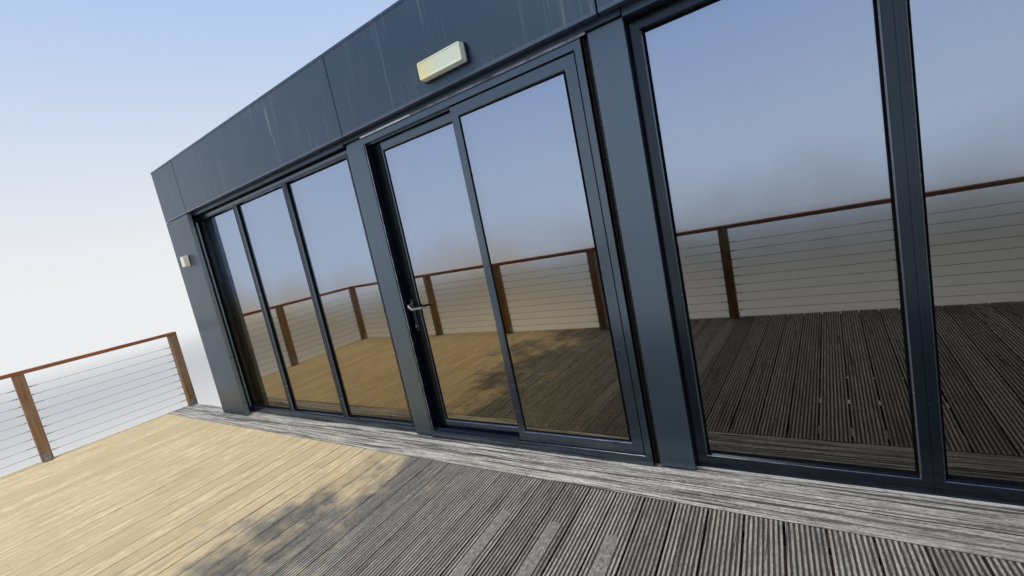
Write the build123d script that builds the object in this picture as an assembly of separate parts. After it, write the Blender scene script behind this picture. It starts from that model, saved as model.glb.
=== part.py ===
from build123d import *
import math
import os

# Raised timber deck with a flat-roofed, sheet-clad cabin.
# Millimetres, +Z up, X along the glazed front, -Y is the front.
# The origin is on the ground under the middle of the whole footprint.

# Cabin
CABIN_LENGTH = 8775.0
CABIN_DEPTH = 4200.0
WALL_CORE = 110.0
CLADDING = 40.0
PANEL_JOINT = 8.0
ROOF_THICKNESS = 300.0
PARAPET_WIDTH = 110.0
EDGE_TRIM = 6.0
SIDE_PANELS = 4
REAR_PANELS = 8
FOLD = 2.5

# Fascia and corner columns
FASCIA_DROP = 65.0
FASCIA_HEIGHT = 578.0
COLUMN_WIDTH = 590.0
FASCIA_MIDDLE_PANEL = 1959.0

# Head band and pilasters, set back from the fascia's face
BAND_SETBACK = 60.0
BAND_HEIGHT = 90.0
BAND_STEP = 13.0
BAND_JOINT = 4.0
PILASTER_SETBACK = 80.0
PILASTER_DEPTH = 110.0
PILASTER_WIDTH = 182.5
DOOR_OPENING = 1780.0

# Fixed windows
FRAME_DEPTH = 70.0
STILE = 65.0
HEAD_RAIL = 60.0
SILL_RAIL = 80.0
HEAD_GAP = 6.0
LIGHTS = 3
LEFT_CORNER = 430.0
LEFT_SETBACK = 104.0
LEFT_MULLION = 65.0
RIGHT_CORNER = 485.0
RIGHT_SETBACK = 134.0
RIGHT_MULLION = 90.0
MULLION_JOINT = 4.0
MULLION_JOINT_DEPTH = 6.0
GLASS = 24.0
GLASS_FRONT = 30.0
GLASS_HOLD = 10.0
GLASS_EDGE_GAP = 2.0
BEAD_SLOPE = 10.0

# Sliding door
DOOR_SETBACK = 70.0
DOOR_DEPTH = 110.0
DOOR_HEIGHT = 2326.0
DOOR_HEAD_JOINT = 4.0
DOOR_SIDE_GAP = 5.0
SLOT_WIDTH = 37.5
SLOT_SETBACK = 40.0
LEFT_JAMB = 32.5
RIGHT_JAMB = 37.0
DOOR_HEAD = 51.0
DOOR_SILL = 65.0
SILL_NOSE = 14.0
LEAF_DEPTH = 40.0
OUTER_TRACK = 8.0
LEAF_SPACING = 6.0
LEAF_CLEARANCE = 6.0
LOCK_CLEARANCE = 10.0
LOCK_STILE = 100.0
FIXED_STILE = 80.0
INTERLOCK = 55.0
LEAF_BOTTOM_RAIL = 72.0
LEAF_TOP_RAIL = 78.0
TRACK_RAIL_WIDTH = 6.0
TRACK_RAIL_HEIGHT = 12.0
TRACK_GROOVE_WIDTH = 18.0
TRACK_GROOVE_DEPTH = 22.0
ROLLER_RADIUS = 9.0
ROLLER_WIDTH = 12.0
ROLLER_AXLE = 3.0
ROLLER_INSET = 120.0
RUNNING_GAP = 0.3

# Door handle
PLATE_WIDTH = 34.0
PLATE_HEIGHT = 250.0
PLATE_THICKNESS = 8.0
PLATE_CORNER = 13.0
PLATE_EDGE = 30.0
LEVER_HEIGHT = 1064.0
LEVER_LENGTH = 135.0
LEVER_DIAMETER = 19.0
LEVER_REACH = 52.0
LEVER_RUN = 36.0
LEVER_FALL = 30.0
LEVER_RISE = 5.0
LEVER_BEND = 14.0
CYLINDER_DROP = 167.0
CYLINDER_RADIUS = 9.0
CYLINDER_REACH = 7.0

# Wall lights
BULKHEAD_WIDTH = 330.0
BULKHEAD_HEIGHT = 102.0
BULKHEAD_REACH = 62.0
BULKHEAD_BASE = 18.0
BULKHEAD_LIP = 6.0
BULKHEAD_CORNER = 10.0
BULKHEAD_OFFSET = 60.0
BULKHEAD_RISE = 120.0
BULKHEAD_TAPER = 2.0
COLUMN_LIGHT_WIDTH = 78.0
COLUMN_LIGHT_DEPTH = 60.0
COLUMN_LIGHT_HEIGHT = 126.0
COLUMN_LIGHT_LEVEL = 1870.0
COLUMN_LIGHT_EDGE = 3.0

# Deck
DECK_TOP = 1200.0
DECK_DEPTH = 2850.0
DECK_MARGIN = 1250.0
BOARD_WIDTH = 145.0
BOARD_GAP = 5.0
BOARD_THICKNESS = 28.0
BOARD_SKEW = 2.7
BOARD_PHASE = 53.0
BORDER_BACK = 142.5
INNER_BORDER = 190.0
JOIST_WIDTH = 45.0
JOIST_HEIGHT = 145.0
JOISTS = 8
RIM_DROP = 25.0

# Bearers and posts
BEARER_WIDTH = 75.0
BEARER_HEIGHT = 225.0
OUTER_BEARER_INSET = 67.5
LONG_BEARERS = 7
END_BEARER_INSET = 130.0
POST = 120.0
FRONT_POST_INSET = 260.0
FACE_POST_INSET = 260.0
REAR_POST_INSET = 160.0
BRACE_WIDTH = 90.0
BRACE_THICKNESS = 45.0
BRACE_RUN = 420.0

# Balustrade
RAIL_TOP = 1050.0
RAIL_THICKNESS = 40.0
RAIL_WIDTH = 95.0
RAIL_POST = 90.0
RAIL_POST_OFFSET = 953.0
RAIL_POST_SPACING = 1500.0
RAIL_INSET = 60.0
ENTRY_GAP = 1100.0
WIRE_RADIUS = 2.5
WIRE_SPACING = 95.0
WIRE_FIRST = 95.0
WIRES = 9

# Places that follow from the sizes above
TOTAL_DEPTH = DECK_DEPTH + CABIN_DEPTH
FRONT = -TOTAL_DEPTH / 2
REAR = TOTAL_DEPTH / 2
FACE = FRONT + DECK_DEPTH
HALF = CABIN_LENGTH / 2
DECK_HALF = HALF + DECK_MARGIN
CORE_BACK = CLADDING + WALL_CORE
MIDDLE_BAND_BOTTOM = DOOR_HEIGHT + DOOR_HEAD_JOINT
SIDE_BAND_BOTTOM = MIDDLE_BAND_BOTTOM - BAND_STEP
WALL_HEIGHT = MIDDLE_BAND_BOTTOM + BAND_HEIGHT
FASCIA_BOTTOM = WALL_HEIGHT - FASCIA_DROP
PIER_BACK = PILASTER_SETBACK + PILASTER_DEPTH
PILASTER_INNER = DOOR_OPENING / 2
PILASTER_OUTER = PILASTER_INNER + PILASTER_WIDTH
FASCIA_TOP = FASCIA_BOTTOM + FASCIA_HEIGHT
ROOF_TOP = WALL_HEIGHT + ROOF_THICKNESS
JOIST_TOP = DECK_TOP - BOARD_THICKNESS
JOIST_BOTTOM = JOIST_TOP - JOIST_HEIGHT
BEARER_BOTTOM = JOIST_BOTTOM - BEARER_HEIGHT
FLOOR_FRONT = FACE + BORDER_BACK + BOARD_GAP
BORDER_JOINT = FACE + BORDER_BACK - INNER_BORDER
BORDER_FRONT = BORDER_JOINT - BOARD_GAP - BOARD_WIDTH
LEFT_WINDOW_START = -HALF + LEFT_CORNER
RIGHT_WINDOW_END = HALF - RIGHT_CORNER
WINDOW_TOP = SIDE_BAND_BOTTOM - HEAD_GAP
FRAME_LEFT = -PILASTER_INNER + DOOR_SIDE_GAP
FRAME_RIGHT = PILASTER_INNER - SLOT_WIDTH
TRACK_LEFT = FRAME_LEFT + LEFT_JAMB
TRACK_RIGHT = FRAME_RIGHT - RIGHT_JAMB
LEAF_WIDTH = (TRACK_RIGHT - TRACK_LEFT - LOCK_CLEARANCE + INTERLOCK) / 2
OUTER_LEAF_FRONT = FACE + DOOR_SETBACK + OUTER_TRACK
INNER_LEAF_FRONT = OUTER_LEAF_FRONT + LEAF_DEPTH + LEAF_SPACING
SLIDING_LEFT = TRACK_LEFT + LOCK_CLEARANCE
FIXED_LEFT = TRACK_RIGHT - LEAF_WIDTH
DOOR_TOP_EDGE = DOOR_HEIGHT - DOOR_HEAD
PLATE_CENTRE = SLIDING_LEFT + PLATE_EDGE
RAIL_LINE_FRONT = FRONT + RAIL_INSET
RAIL_LINE_SIDE = DECK_HALF - RAIL_INSET
RAIL_BOTTOM = RAIL_TOP - RAIL_THICKNESS


def block(x0, x1, y0, y1, z0, z1):
    """A box between two opposite corners."""
    return Pos(x0, y0, z0) * Box(x1 - x0, y1 - y0, z1 - z0, align=(Align.MIN,) * 3)


def upper(x0, x1, y0, y1, z0, z1):
    """A box whose heights are counted from the deck."""
    return block(x0, x1, y0, y1, DECK_TOP + z0, DECK_TOP + z1)


def panel(x0, x1, y0, y1, z0, z1, outward):
    """A plate with softened edges round the face that looks outward."""
    plate = upper(x0, x1, y0, y1, z0, z1)
    face = plate.faces().sort_by(Axis((0, 0, 0), outward))[-1]
    return chamfer(face.edges(), FOLD)


def row(start, end, count, gap):
    """Start and end of equal panels along a line, with a joint between them."""
    width = (end - start - (count - 1) * gap) / count
    return [(start + i * (width + gap), start + i * (width + gap) + width) for i in range(count)]


def front_rectangle(x0, x1, z0, z1, y):
    """A rectangle that faces the front, at depth y, with heights counted from the deck."""
    middle = ((x0 + x1) / 2, y, DECK_TOP + (z0 + z1) / 2)
    return Plane(origin=middle, x_dir=(1, 0, 0), z_dir=(0, -1, 0)) * Rectangle(x1 - x0, z1 - z0)


def glazing_cut(x0, x1, z0, z1, front, depth, glass_front):
    """An opening with sloped beads in front of the glass, a groove for its edge and a square back."""
    outer = front_rectangle(x0 - BEAD_SLOPE, x1 + BEAD_SLOPE, z0 - BEAD_SLOPE, z1 + BEAD_SLOPE, front)
    inner = front_rectangle(x0, x1, z0, z1, front + glass_front)
    beads = loft([outer, inner])
    hold = GLASS_HOLD + GLASS_EDGE_GAP
    seat = front + glass_front
    groove = upper(x0 - hold, x1 + hold, seat, seat + GLASS, z0 - hold, z1 + hold)
    back = upper(x0, x1, seat, front + depth, z0, z1)
    return beads + groove + back


def glass_sheet(x0, x1, z0, z1, front, glass_front):
    """A glazing unit held by its edges."""
    near = front + glass_front
    return upper(x0 - GLASS_HOLD, x1 + GLASS_HOLD, near, near + GLASS, z0 - GLASS_HOLD, z1 + GLASS_HOLD)


def window(start, end, mullion, setback):
    """A frame with a row of equal lights, and its glass."""
    front = FACE + setback
    bottom = SILL_RAIL
    top = WINDOW_TOP - HEAD_RAIL
    light = (end - start - 2 * STILE - (LIGHTS - 1) * mullion) / LIGHTS
    openings = [start + STILE + i * (light + mullion) for i in range(LIGHTS)]
    frame = upper(start, end, front, front + FRAME_DEPTH, 0, WINDOW_TOP)
    for x in openings:
        frame -= glazing_cut(x, x + light, bottom, top, front, FRAME_DEPTH, GLASS_FRONT)
    sheets = [glass_sheet(x, x + light, bottom, top, front, GLASS_FRONT) for x in openings]
    return frame, sheets


def mullion_joints(start, end, mullion, setback):
    """The fine joint down the middle of each mullion, where two frames meet."""
    front = FACE + setback
    light = (end - start - 2 * STILE - (LIGHTS - 1) * mullion) / LIGHTS
    half = MULLION_JOINT / 2
    joints = []
    for i in range(1, LIGHTS):
        middle = start + STILE + i * (light + mullion) - mullion / 2
        joints.append(upper(middle - half, middle + half, front, front + MULLION_JOINT_DEPTH, 0, WINDOW_TOP))
    return joints


def track(x0, x1, leaf_front):
    """A guide rail on the sill and a guide fin under the head, on a leaf's middle."""
    middle = leaf_front + LEAF_DEPTH / 2
    near = middle - TRACK_RAIL_WIDTH / 2
    far = middle + TRACK_RAIL_WIDTH / 2
    rail = upper(x0, x1, near, far, DOOR_SILL, DOOR_SILL + TRACK_RAIL_HEIGHT)
    fin = upper(x0, x1, near, far, DOOR_TOP_EDGE - TRACK_RAIL_HEIGHT, DOOR_TOP_EDGE)
    return rail + fin


def door_frame():
    """The outer frame with its sloped sill nose and two tracks, the outer one up to the fixed leaf."""
    front = FACE + DOOR_SETBACK
    frame = upper(FRAME_LEFT, FRAME_RIGHT, front, front + DOOR_DEPTH, 0, DOOR_HEIGHT)
    frame -= upper(TRACK_LEFT, TRACK_RIGHT, front, front + DOOR_DEPTH, DOOR_SILL, DOOR_TOP_EDGE)
    sill = frame.edges().filter_by(Axis.X).filter_by_position(Axis.Y, front - 1, front + 1)
    nose = sill.filter_by_position(Axis.Z, DECK_TOP + DOOR_SILL - 1, DECK_TOP + DOOR_SILL + 1)
    frame = chamfer(nose, OUTER_TRACK - 1, SILL_NOSE)
    frame += track(TRACK_LEFT, TRACK_RIGHT, INNER_LEAF_FRONT)
    frame += track(TRACK_LEFT, FIXED_LEFT, OUTER_LEAF_FRONT)
    return frame


def leaf(x0, left_stile, right_stile, front, bottom, top):
    """A door leaf's frame and its glass."""
    x1 = x0 + LEAF_WIDTH
    glass_front = (LEAF_DEPTH - GLASS) / 2
    low = DOOR_SILL + LEAF_BOTTOM_RAIL
    high = DOOR_TOP_EDGE - LEAF_TOP_RAIL
    opening = (x0 + left_stile, x1 - right_stile, low, high)
    frame = upper(x0, x1, front, front + LEAF_DEPTH, bottom, top)
    frame -= glazing_cut(*opening, front, LEAF_DEPTH, glass_front)
    return frame, glass_sheet(*opening, front, glass_front)


def sliding_leaf():
    """The leaf on the inner track, with grooves over the guides and two rollers on the rail."""
    bottom = DOOR_SILL + LEAF_CLEARANCE
    top = DOOR_TOP_EDGE - LEAF_CLEARANCE
    frame, glass = leaf(SLIDING_LEFT, LOCK_STILE, INTERLOCK, INNER_LEAF_FRONT, bottom, top)
    middle = INNER_LEAF_FRONT + LEAF_DEPTH / 2
    near = middle - TRACK_GROOVE_WIDTH / 2
    far = middle + TRACK_GROOVE_WIDTH / 2
    x1 = SLIDING_LEFT + LEAF_WIDTH
    frame -= upper(SLIDING_LEFT, x1, near, far, bottom, bottom + TRACK_GROOVE_DEPTH)
    frame -= upper(SLIDING_LEFT, x1, near, far, top - TRACK_GROOVE_DEPTH, top)
    axle = DECK_TOP + DOOR_SILL + TRACK_RAIL_HEIGHT + RUNNING_GAP + ROLLER_RADIUS
    for x in (SLIDING_LEFT + ROLLER_INSET, x1 - ROLLER_INSET):
        place = Pos(x, middle, axle) * Rot(90, 0, 0)
        frame += place * Cylinder(ROLLER_RADIUS, ROLLER_WIDTH)
        frame += place * Cylinder(ROLLER_AXLE, TRACK_GROOVE_WIDTH)
    return frame, glass


def door_handle():
    """Plate, bent lever and lock cylinder on the outside of the sliding leaf's lock stile."""
    face = INNER_LEAF_FRONT
    x = PLATE_CENTRE
    level = DECK_TOP + LEVER_HEIGHT
    middle = level - CYLINDER_DROP / 2
    plate = Plane(origin=(x, face, middle), x_dir=(1, 0, 0), z_dir=(0, -1, 0))
    body = extrude(plate * RectangleRounded(PLATE_WIDTH, PLATE_HEIGHT, PLATE_CORNER), PLATE_THICKNESS)
    tip = face - LEVER_REACH
    low = level - LEVER_FALL
    path = FilletPolyline(
        (x, face, level),
        (x, tip, level),
        (x + LEVER_RUN, tip, low),
        (x + LEVER_LENGTH, tip, low + LEVER_RISE),
        radius=LEVER_BEND,
    )
    section = Plane(origin=path @ 0, z_dir=path % 0) * Circle(LEVER_DIAMETER / 2)
    body += sweep(section, path=path)
    barrel = Plane(origin=(x, face, level - CYLINDER_DROP), x_dir=(1, 0, 0), z_dir=(0, -1, 0))
    body += extrude(barrel * Circle(CYLINDER_RADIUS), PLATE_THICKNESS + CYLINDER_REACH)
    return body


def bulkhead_light():
    """A dark base plate and a box-like cover that narrows a little towards its face."""
    middle = (BULKHEAD_OFFSET, FACE, DECK_TOP + FASCIA_BOTTOM + BULKHEAD_RISE)
    wall = Plane(origin=middle, x_dir=(1, 0, 0), z_dir=(0, -1, 0))
    rim = 2 * BULKHEAD_LIP
    outline = RectangleRounded(BULKHEAD_WIDTH + rim, BULKHEAD_HEIGHT + rim, BULKHEAD_CORNER)
    base = extrude(wall * outline, BULKHEAD_BASE)
    seat = Plane(origin=(middle[0], FACE - BULKHEAD_BASE, middle[2]), x_dir=(1, 0, 0), z_dir=(0, -1, 0))
    cover_outline = seat * RectangleRounded(BULKHEAD_WIDTH, BULKHEAD_HEIGHT, BULKHEAD_CORNER)
    cover = extrude(cover_outline, BULKHEAD_REACH - BULKHEAD_BASE, taper=BULKHEAD_TAPER)
    return base, cover


def column_light(side):
    """A small box light on the middle of a corner column."""
    x = side * (HALF - COLUMN_WIDTH / 2)
    half = COLUMN_LIGHT_WIDTH / 2
    low = COLUMN_LIGHT_LEVEL - COLUMN_LIGHT_HEIGHT / 2
    body = upper(x - half, x + half, FACE - COLUMN_LIGHT_DEPTH, FACE, low, low + COLUMN_LIGHT_HEIGHT)
    return chamfer(body.edges().filter_by(Axis.Y), COLUMN_LIGHT_EDGE)


def corner_column(side):
    """A folded panel flush with the fascia."""
    inner = side * (HALF - COLUMN_WIDTH)
    outer = side * HALF
    x0, x1 = min(inner, outer), max(inner, outer)
    return panel(x0, x1, FACE, FACE + CLADDING, PANEL_JOINT, FASCIA_BOTTOM - PANEL_JOINT, (0, -1, 0))


def corner_pier(side, window_end):
    """The wall between a side wall and the window frame beside it."""
    outer = side * (HALF - CLADDING)
    x0, x1 = min(outer, window_end), max(outer, window_end)
    return upper(x0, x1, FACE + CLADDING, FACE + PIER_BACK, 0, WALL_HEIGHT)


def side_wall(side):
    """The core of a side wall between the corner pier and the rear wall."""
    outer = side * (HALF - CLADDING)
    inner = side * (HALF - CORE_BACK)
    x0, x1 = min(outer, inner), max(outer, inner)
    return upper(x0, x1, FACE + PIER_BACK, REAR - CORE_BACK, 0, WALL_HEIGHT)


def side_cladding(side, bottom, top):
    """Flat panels with open joints on a side."""
    outer = side * HALF
    inner = side * (HALF - CLADDING)
    x0, x1 = min(outer, inner), max(outer, inner)
    runs = row(FACE + CLADDING + PANEL_JOINT, REAR - CLADDING - PANEL_JOINT, SIDE_PANELS, PANEL_JOINT)
    return [panel(x0, x1, y0, y1, bottom, top, (side, 0, 0)) for y0, y1 in runs]


def rear_cladding(bottom, top):
    """Flat panels with open joints across the back."""
    runs = row(-HALF, HALF, REAR_PANELS, PANEL_JOINT)
    return [panel(x0, x1, REAR - CLADDING, REAR, bottom, top, (0, 1, 0)) for x0, x1 in runs]


def front_fascia():
    """Corner panels, two long panels and a middle panel, in line with the columns' inner edges."""
    corner = HALF - COLUMN_WIDTH
    middle = FASCIA_MIDDLE_PANEL / 2
    long_inner = middle + PANEL_JOINT
    runs = [(-HALF, -corner), (-corner + PANEL_JOINT, -long_inner), (-middle, middle)]
    runs += [(long_inner, corner - PANEL_JOINT), (corner, HALF)]
    far = FACE + CLADDING
    return Compound([panel(x0, x1, FACE, far, FASCIA_BOTTOM, FASCIA_TOP, (0, -1, 0)) for x0, x1 in runs])


def head_bands():
    """The lintels' covers over the windows and, a little higher, over the door."""
    near = FACE + BAND_SETBACK
    far = FACE + PIER_BACK
    edge = PILASTER_OUTER + BAND_JOINT
    left = upper(LEFT_WINDOW_START, -edge, near, far, SIDE_BAND_BOTTOM, WALL_HEIGHT)
    middle = upper(-PILASTER_OUTER, PILASTER_OUTER, near, far, MIDDLE_BAND_BOTTOM, WALL_HEIGHT)
    right = upper(edge, RIGHT_WINDOW_END, near, far, SIDE_BAND_BOTTOM, WALL_HEIGHT)
    return Compound([left, middle, right])


def pilaster(side):
    """The flat upright beside the door."""
    x0 = min(side * PILASTER_INNER, side * PILASTER_OUTER)
    near = FACE + PILASTER_SETBACK
    far = FACE + PIER_BACK
    top = MIDDLE_BAND_BOTTOM - BAND_JOINT
    return panel(x0, x0 + PILASTER_WIDTH, near, far, PANEL_JOINT, top, (0, -1, 0))


def roof():
    """The flat roof slab on the walls."""
    edge = HALF - CLADDING
    return upper(-edge, edge, FACE + CLADDING, REAR - CLADDING, WALL_HEIGHT, ROOF_TOP)


def long_parapets():
    """The kerbs on the roof's front and rear edges, behind the fascia."""
    outer = HALF - CLADDING
    near = FACE + CLADDING
    far = REAR - CLADDING
    top = FASCIA_TOP - EDGE_TRIM
    front = upper(-outer, outer, near, near + PARAPET_WIDTH, ROOF_TOP, top)
    rear = upper(-outer, outer, far - PARAPET_WIDTH, far, ROOF_TOP, top)
    return Compound([front, rear])


def side_parapets():
    """The kerbs on the roof's ends, between the long ones."""
    outer = HALF - CLADDING
    inner = outer - PARAPET_WIDTH
    near = FACE + CLADDING + PARAPET_WIDTH
    far = REAR - CLADDING - PARAPET_WIDTH
    top = FASCIA_TOP - EDGE_TRIM
    left = upper(-outer, -inner, near, far, ROOF_TOP, top)
    right = upper(inner, outer, near, far, ROOF_TOP, top)
    return Compound([left, right])


def roof_edge_trim():
    """The thin sheet that covers the kerbs' tops behind the fascia."""
    outer = HALF - CLADDING
    inner = outer - PARAPET_WIDTH
    far = CLADDING + PARAPET_WIDTH
    top = FASCIA_TOP
    sheet = upper(-outer, outer, FACE + CLADDING, REAR - CLADDING, top - EDGE_TRIM, top)
    return sheet - upper(-inner, inner, FACE + far, REAR - far, top - EDGE_TRIM, top)


def cabin_floor():
    """The floor cassette behind the border boards."""
    outer = HALF - CLADDING
    return block(-outer, outer, FLOOR_FRONT, REAR - CLADDING, JOIST_BOTTOM, DECK_TOP)


def floor_skirts():
    """The sheets over the floor's edge, on the sides and the back."""
    far = REAR - CLADDING
    low = JOIST_BOTTOM - DECK_TOP
    left = panel(-HALF, -HALF + CLADDING, FLOOR_FRONT, far - PANEL_JOINT, low, 0, (-1, 0, 0))
    right = panel(HALF - CLADDING, HALF, FLOOR_FRONT, far - PANEL_JOINT, low, 0, (1, 0, 0))
    rear = panel(-HALF, HALF, far, REAR, low, 0, (0, 1, 0))
    return Compound([left, right, rear])


def deck_boards():
    """Boards that run out from the front, a little off square, cut to the deck's outline."""
    outline = upper(-DECK_HALF, DECK_HALF, FRONT, BORDER_FRONT - BOARD_GAP, -BOARD_THICKNESS, 0)
    pitch = (BOARD_WIDTH + BOARD_GAP) / math.cos(math.radians(BOARD_SKEW))
    drift = (BORDER_FRONT - FRONT) * math.tan(math.radians(BOARD_SKEW))
    first = -math.ceil((DECK_HALF + drift) / pitch)
    last = math.ceil(DECK_HALF / pitch)
    length = 3 * DECK_DEPTH
    centre = DECK_TOP - BOARD_THICKNESS / 2
    boards = []
    for i in range(first, last + 1):
        place = Pos(BOARD_PHASE + i * pitch, BORDER_FRONT, centre) * Rot(0, 0, BOARD_SKEW)
        cut = outline & (place * Box(BOARD_WIDTH, length, BOARD_THICKNESS))
        if cut is not None and cut.volume > 0:
            boards += cut.solids()
    return Compound(boards)


def border_boards():
    """Two plain boards along the foot of the front."""
    inner = upper(-DECK_HALF, DECK_HALF, BORDER_JOINT, FACE + BORDER_BACK, -BOARD_THICKNESS, 0)
    outer = upper(-DECK_HALF, DECK_HALF, BORDER_FRONT, BORDER_FRONT + BOARD_WIDTH, -BOARD_THICKNESS, 0)
    return Compound([inner, outer])


def deck_front_rim():
    """The board on edge along the deck's front."""
    low = JOIST_BOTTOM - RIM_DROP
    return block(-DECK_HALF, DECK_HALF, FRONT, FRONT + BOARD_THICKNESS, low, JOIST_TOP)


def deck_end_rims():
    """The boards on edge at the deck's ends, behind the front one."""
    near = FRONT + BOARD_THICKNESS
    far = FACE + BORDER_BACK
    low = JOIST_BOTTOM - RIM_DROP
    inner = DECK_HALF - BOARD_THICKNESS
    left = block(-DECK_HALF, -inner, near, far, low, JOIST_TOP)
    right = block(inner, DECK_HALF, near, far, low, JOIST_TOP)
    return Compound([left, right])


def deck_joists():
    """Joists along the deck, between its end rims."""
    near = FRONT + BOARD_THICKNESS
    far = FACE + BORDER_BACK
    inner = DECK_HALF - BOARD_THICKNESS
    step = (far - near - JOIST_WIDTH) / (JOISTS - 1)
    starts = [near + i * step for i in range(JOISTS)]
    return Compound([block(-inner, inner, y, y + JOIST_WIDTH, JOIST_BOTTOM, JOIST_TOP) for y in starts])


def long_bearer_lines():
    """X of each bearer that carries the deck and the cabin."""
    edge = HALF - OUTER_BEARER_INSET
    step = 2 * edge / (LONG_BEARERS - 1)
    return [-edge + i * step for i in range(LONG_BEARERS)]


def end_bearer_lines():
    """X of the two short bearers under the ends of the deck."""
    edge = DECK_HALF - END_BEARER_INSET
    return [-edge, edge]


def bearer(x, far):
    """A beam from the deck's front to depth far."""
    half = BEARER_WIDTH / 2
    return block(x - half, x + half, FRONT + BOARD_THICKNESS, far, BEARER_BOTTOM, JOIST_BOTTOM)


def bearers():
    """All bearers, on the posts."""
    beams = [bearer(x, REAR - CLADDING) for x in long_bearer_lines()]
    beams += [bearer(x, FACE + BORDER_BACK) for x in end_bearer_lines()]
    return Compound(beams)


def post_row(lines, y):
    """Posts from the ground up to the bearers."""
    half = POST / 2
    return [block(x - half, x + half, y - half, y + half, 0, BEARER_BOTTOM) for x in lines]


def knee_brace(x, y, towards):
    """A mitred strut from a post's side up to the bearer."""
    start = y + towards * POST / 2
    top = BEARER_BOTTOM
    low = top - BRACE_RUN
    slant = BRACE_WIDTH * math.sqrt(2)
    outline = Polyline(
        (start, low),
        (start + towards * BRACE_RUN, top),
        (start + towards * (BRACE_RUN - slant), top),
        (start, low + slant),
        close=True,
    )
    plane = Plane(origin=(x - BRACE_THICKNESS / 2, 0, 0), x_dir=(0, 1, 0), z_dir=(1, 0, 0))
    return extrude(plane * make_face(outline), BRACE_THICKNESS)


def knee_braces(front_y, face_y):
    """Braces along each long bearer, at the front row and the row below the cabin's front."""
    braces = []
    for x in long_bearer_lines():
        braces.append(knee_brace(x, front_y, 1))
        braces.append(knee_brace(x, face_y, -1))
    return Compound(braces)


def rail_post_lines():
    """X of the balustrade's front posts, with one at each corner."""
    lines = [-RAIL_LINE_SIDE, RAIL_LINE_SIDE]
    x = RAIL_POST_OFFSET
    while x - RAIL_POST_SPACING > -RAIL_LINE_SIDE + RAIL_POST_SPACING / 2:
        x -= RAIL_POST_SPACING
    while x < RAIL_LINE_SIDE - RAIL_POST_SPACING / 2:
        lines.append(x)
        x += RAIL_POST_SPACING
    return sorted(lines)


def side_rail_end(side):
    """Y of the last post of a side rail, where the right one stops short for the way in."""
    end = FACE + BORDER_BACK - RAIL_POST / 2
    return end if side < 0 else end - ENTRY_GAP


def rail_post(x, y):
    """A square post on the deck."""
    half = RAIL_POST / 2
    return upper(x - half, x + half, y - half, y + half, 0, RAIL_BOTTOM)


def side_rail_middle(side):
    """Y of the post halfway along a side rail."""
    return (RAIL_LINE_FRONT + side_rail_end(side)) / 2


def rail_posts():
    """Posts along the front, at the middle of each side and at the side ends."""
    posts = [rail_post(x, RAIL_LINE_FRONT) for x in rail_post_lines()]
    for side in (-1, 1):
        posts.append(rail_post(side * RAIL_LINE_SIDE, side_rail_middle(side)))
        posts.append(rail_post(side * RAIL_LINE_SIDE, side_rail_end(side)))
    return Compound(posts)


def rail_board(outline):
    """A flat board on the posts, from its outline seen from above."""
    plane = Plane(origin=(0, 0, DECK_TOP + RAIL_BOTTOM))
    return extrude(plane * make_face(Polyline(*outline, close=True)), RAIL_THICKNESS)


def front_hand_rail():
    """The top rail along the front, mitred at both corners."""
    half = RAIL_WIDTH / 2
    outer = RAIL_LINE_SIDE + half
    inner = RAIL_LINE_SIDE - half
    near = RAIL_LINE_FRONT - half
    far = RAIL_LINE_FRONT + half
    return rail_board([(-outer, near), (outer, near), (inner, far), (-inner, far)])


def side_hand_rails():
    """The top rails of the sides, mitred to the front one."""
    half = RAIL_WIDTH / 2
    near = RAIL_LINE_FRONT - half
    far = RAIL_LINE_FRONT + half
    boards = []
    for side in (-1, 1):
        outer = side * (RAIL_LINE_SIDE + half)
        inner = side * (RAIL_LINE_SIDE - half)
        end = side_rail_end(side) + RAIL_POST / 2
        boards.append(rail_board([(outer, near), (outer, end), (inner, end), (inner, far)]))
    return Compound(boards)


def wire(start, end):
    """A six-sided wire between two points."""
    line = Line(start, end)
    return extrude(Plane(origin=line @ 0, z_dir=line % 0) * RegularPolygon(WIRE_RADIUS, 6), line.length)


def wires(runs):
    """Level wires over each run from one post to the next."""
    levels = [DECK_TOP + WIRE_FIRST + i * WIRE_SPACING for i in range(WIRES)]
    return Compound([wire((*a, level), (*b, level)) for level in levels for a, b in runs])


def front_rail_wires():
    """Wires along the front."""
    half = RAIL_POST / 2
    posts = rail_post_lines()
    bays = zip(posts, posts[1:])
    return wires([((a + half, RAIL_LINE_FRONT), (b - half, RAIL_LINE_FRONT)) for a, b in bays])


def side_rail_wires(side):
    """Wires along one side."""
    half = RAIL_POST / 2
    x = side * RAIL_LINE_SIDE
    middle = side_rail_middle(side)
    first = ((x, RAIL_LINE_FRONT + half), (x, middle - half))
    second = ((x, middle + half), (x, side_rail_end(side) - half))
    return wires([first, second])


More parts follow.
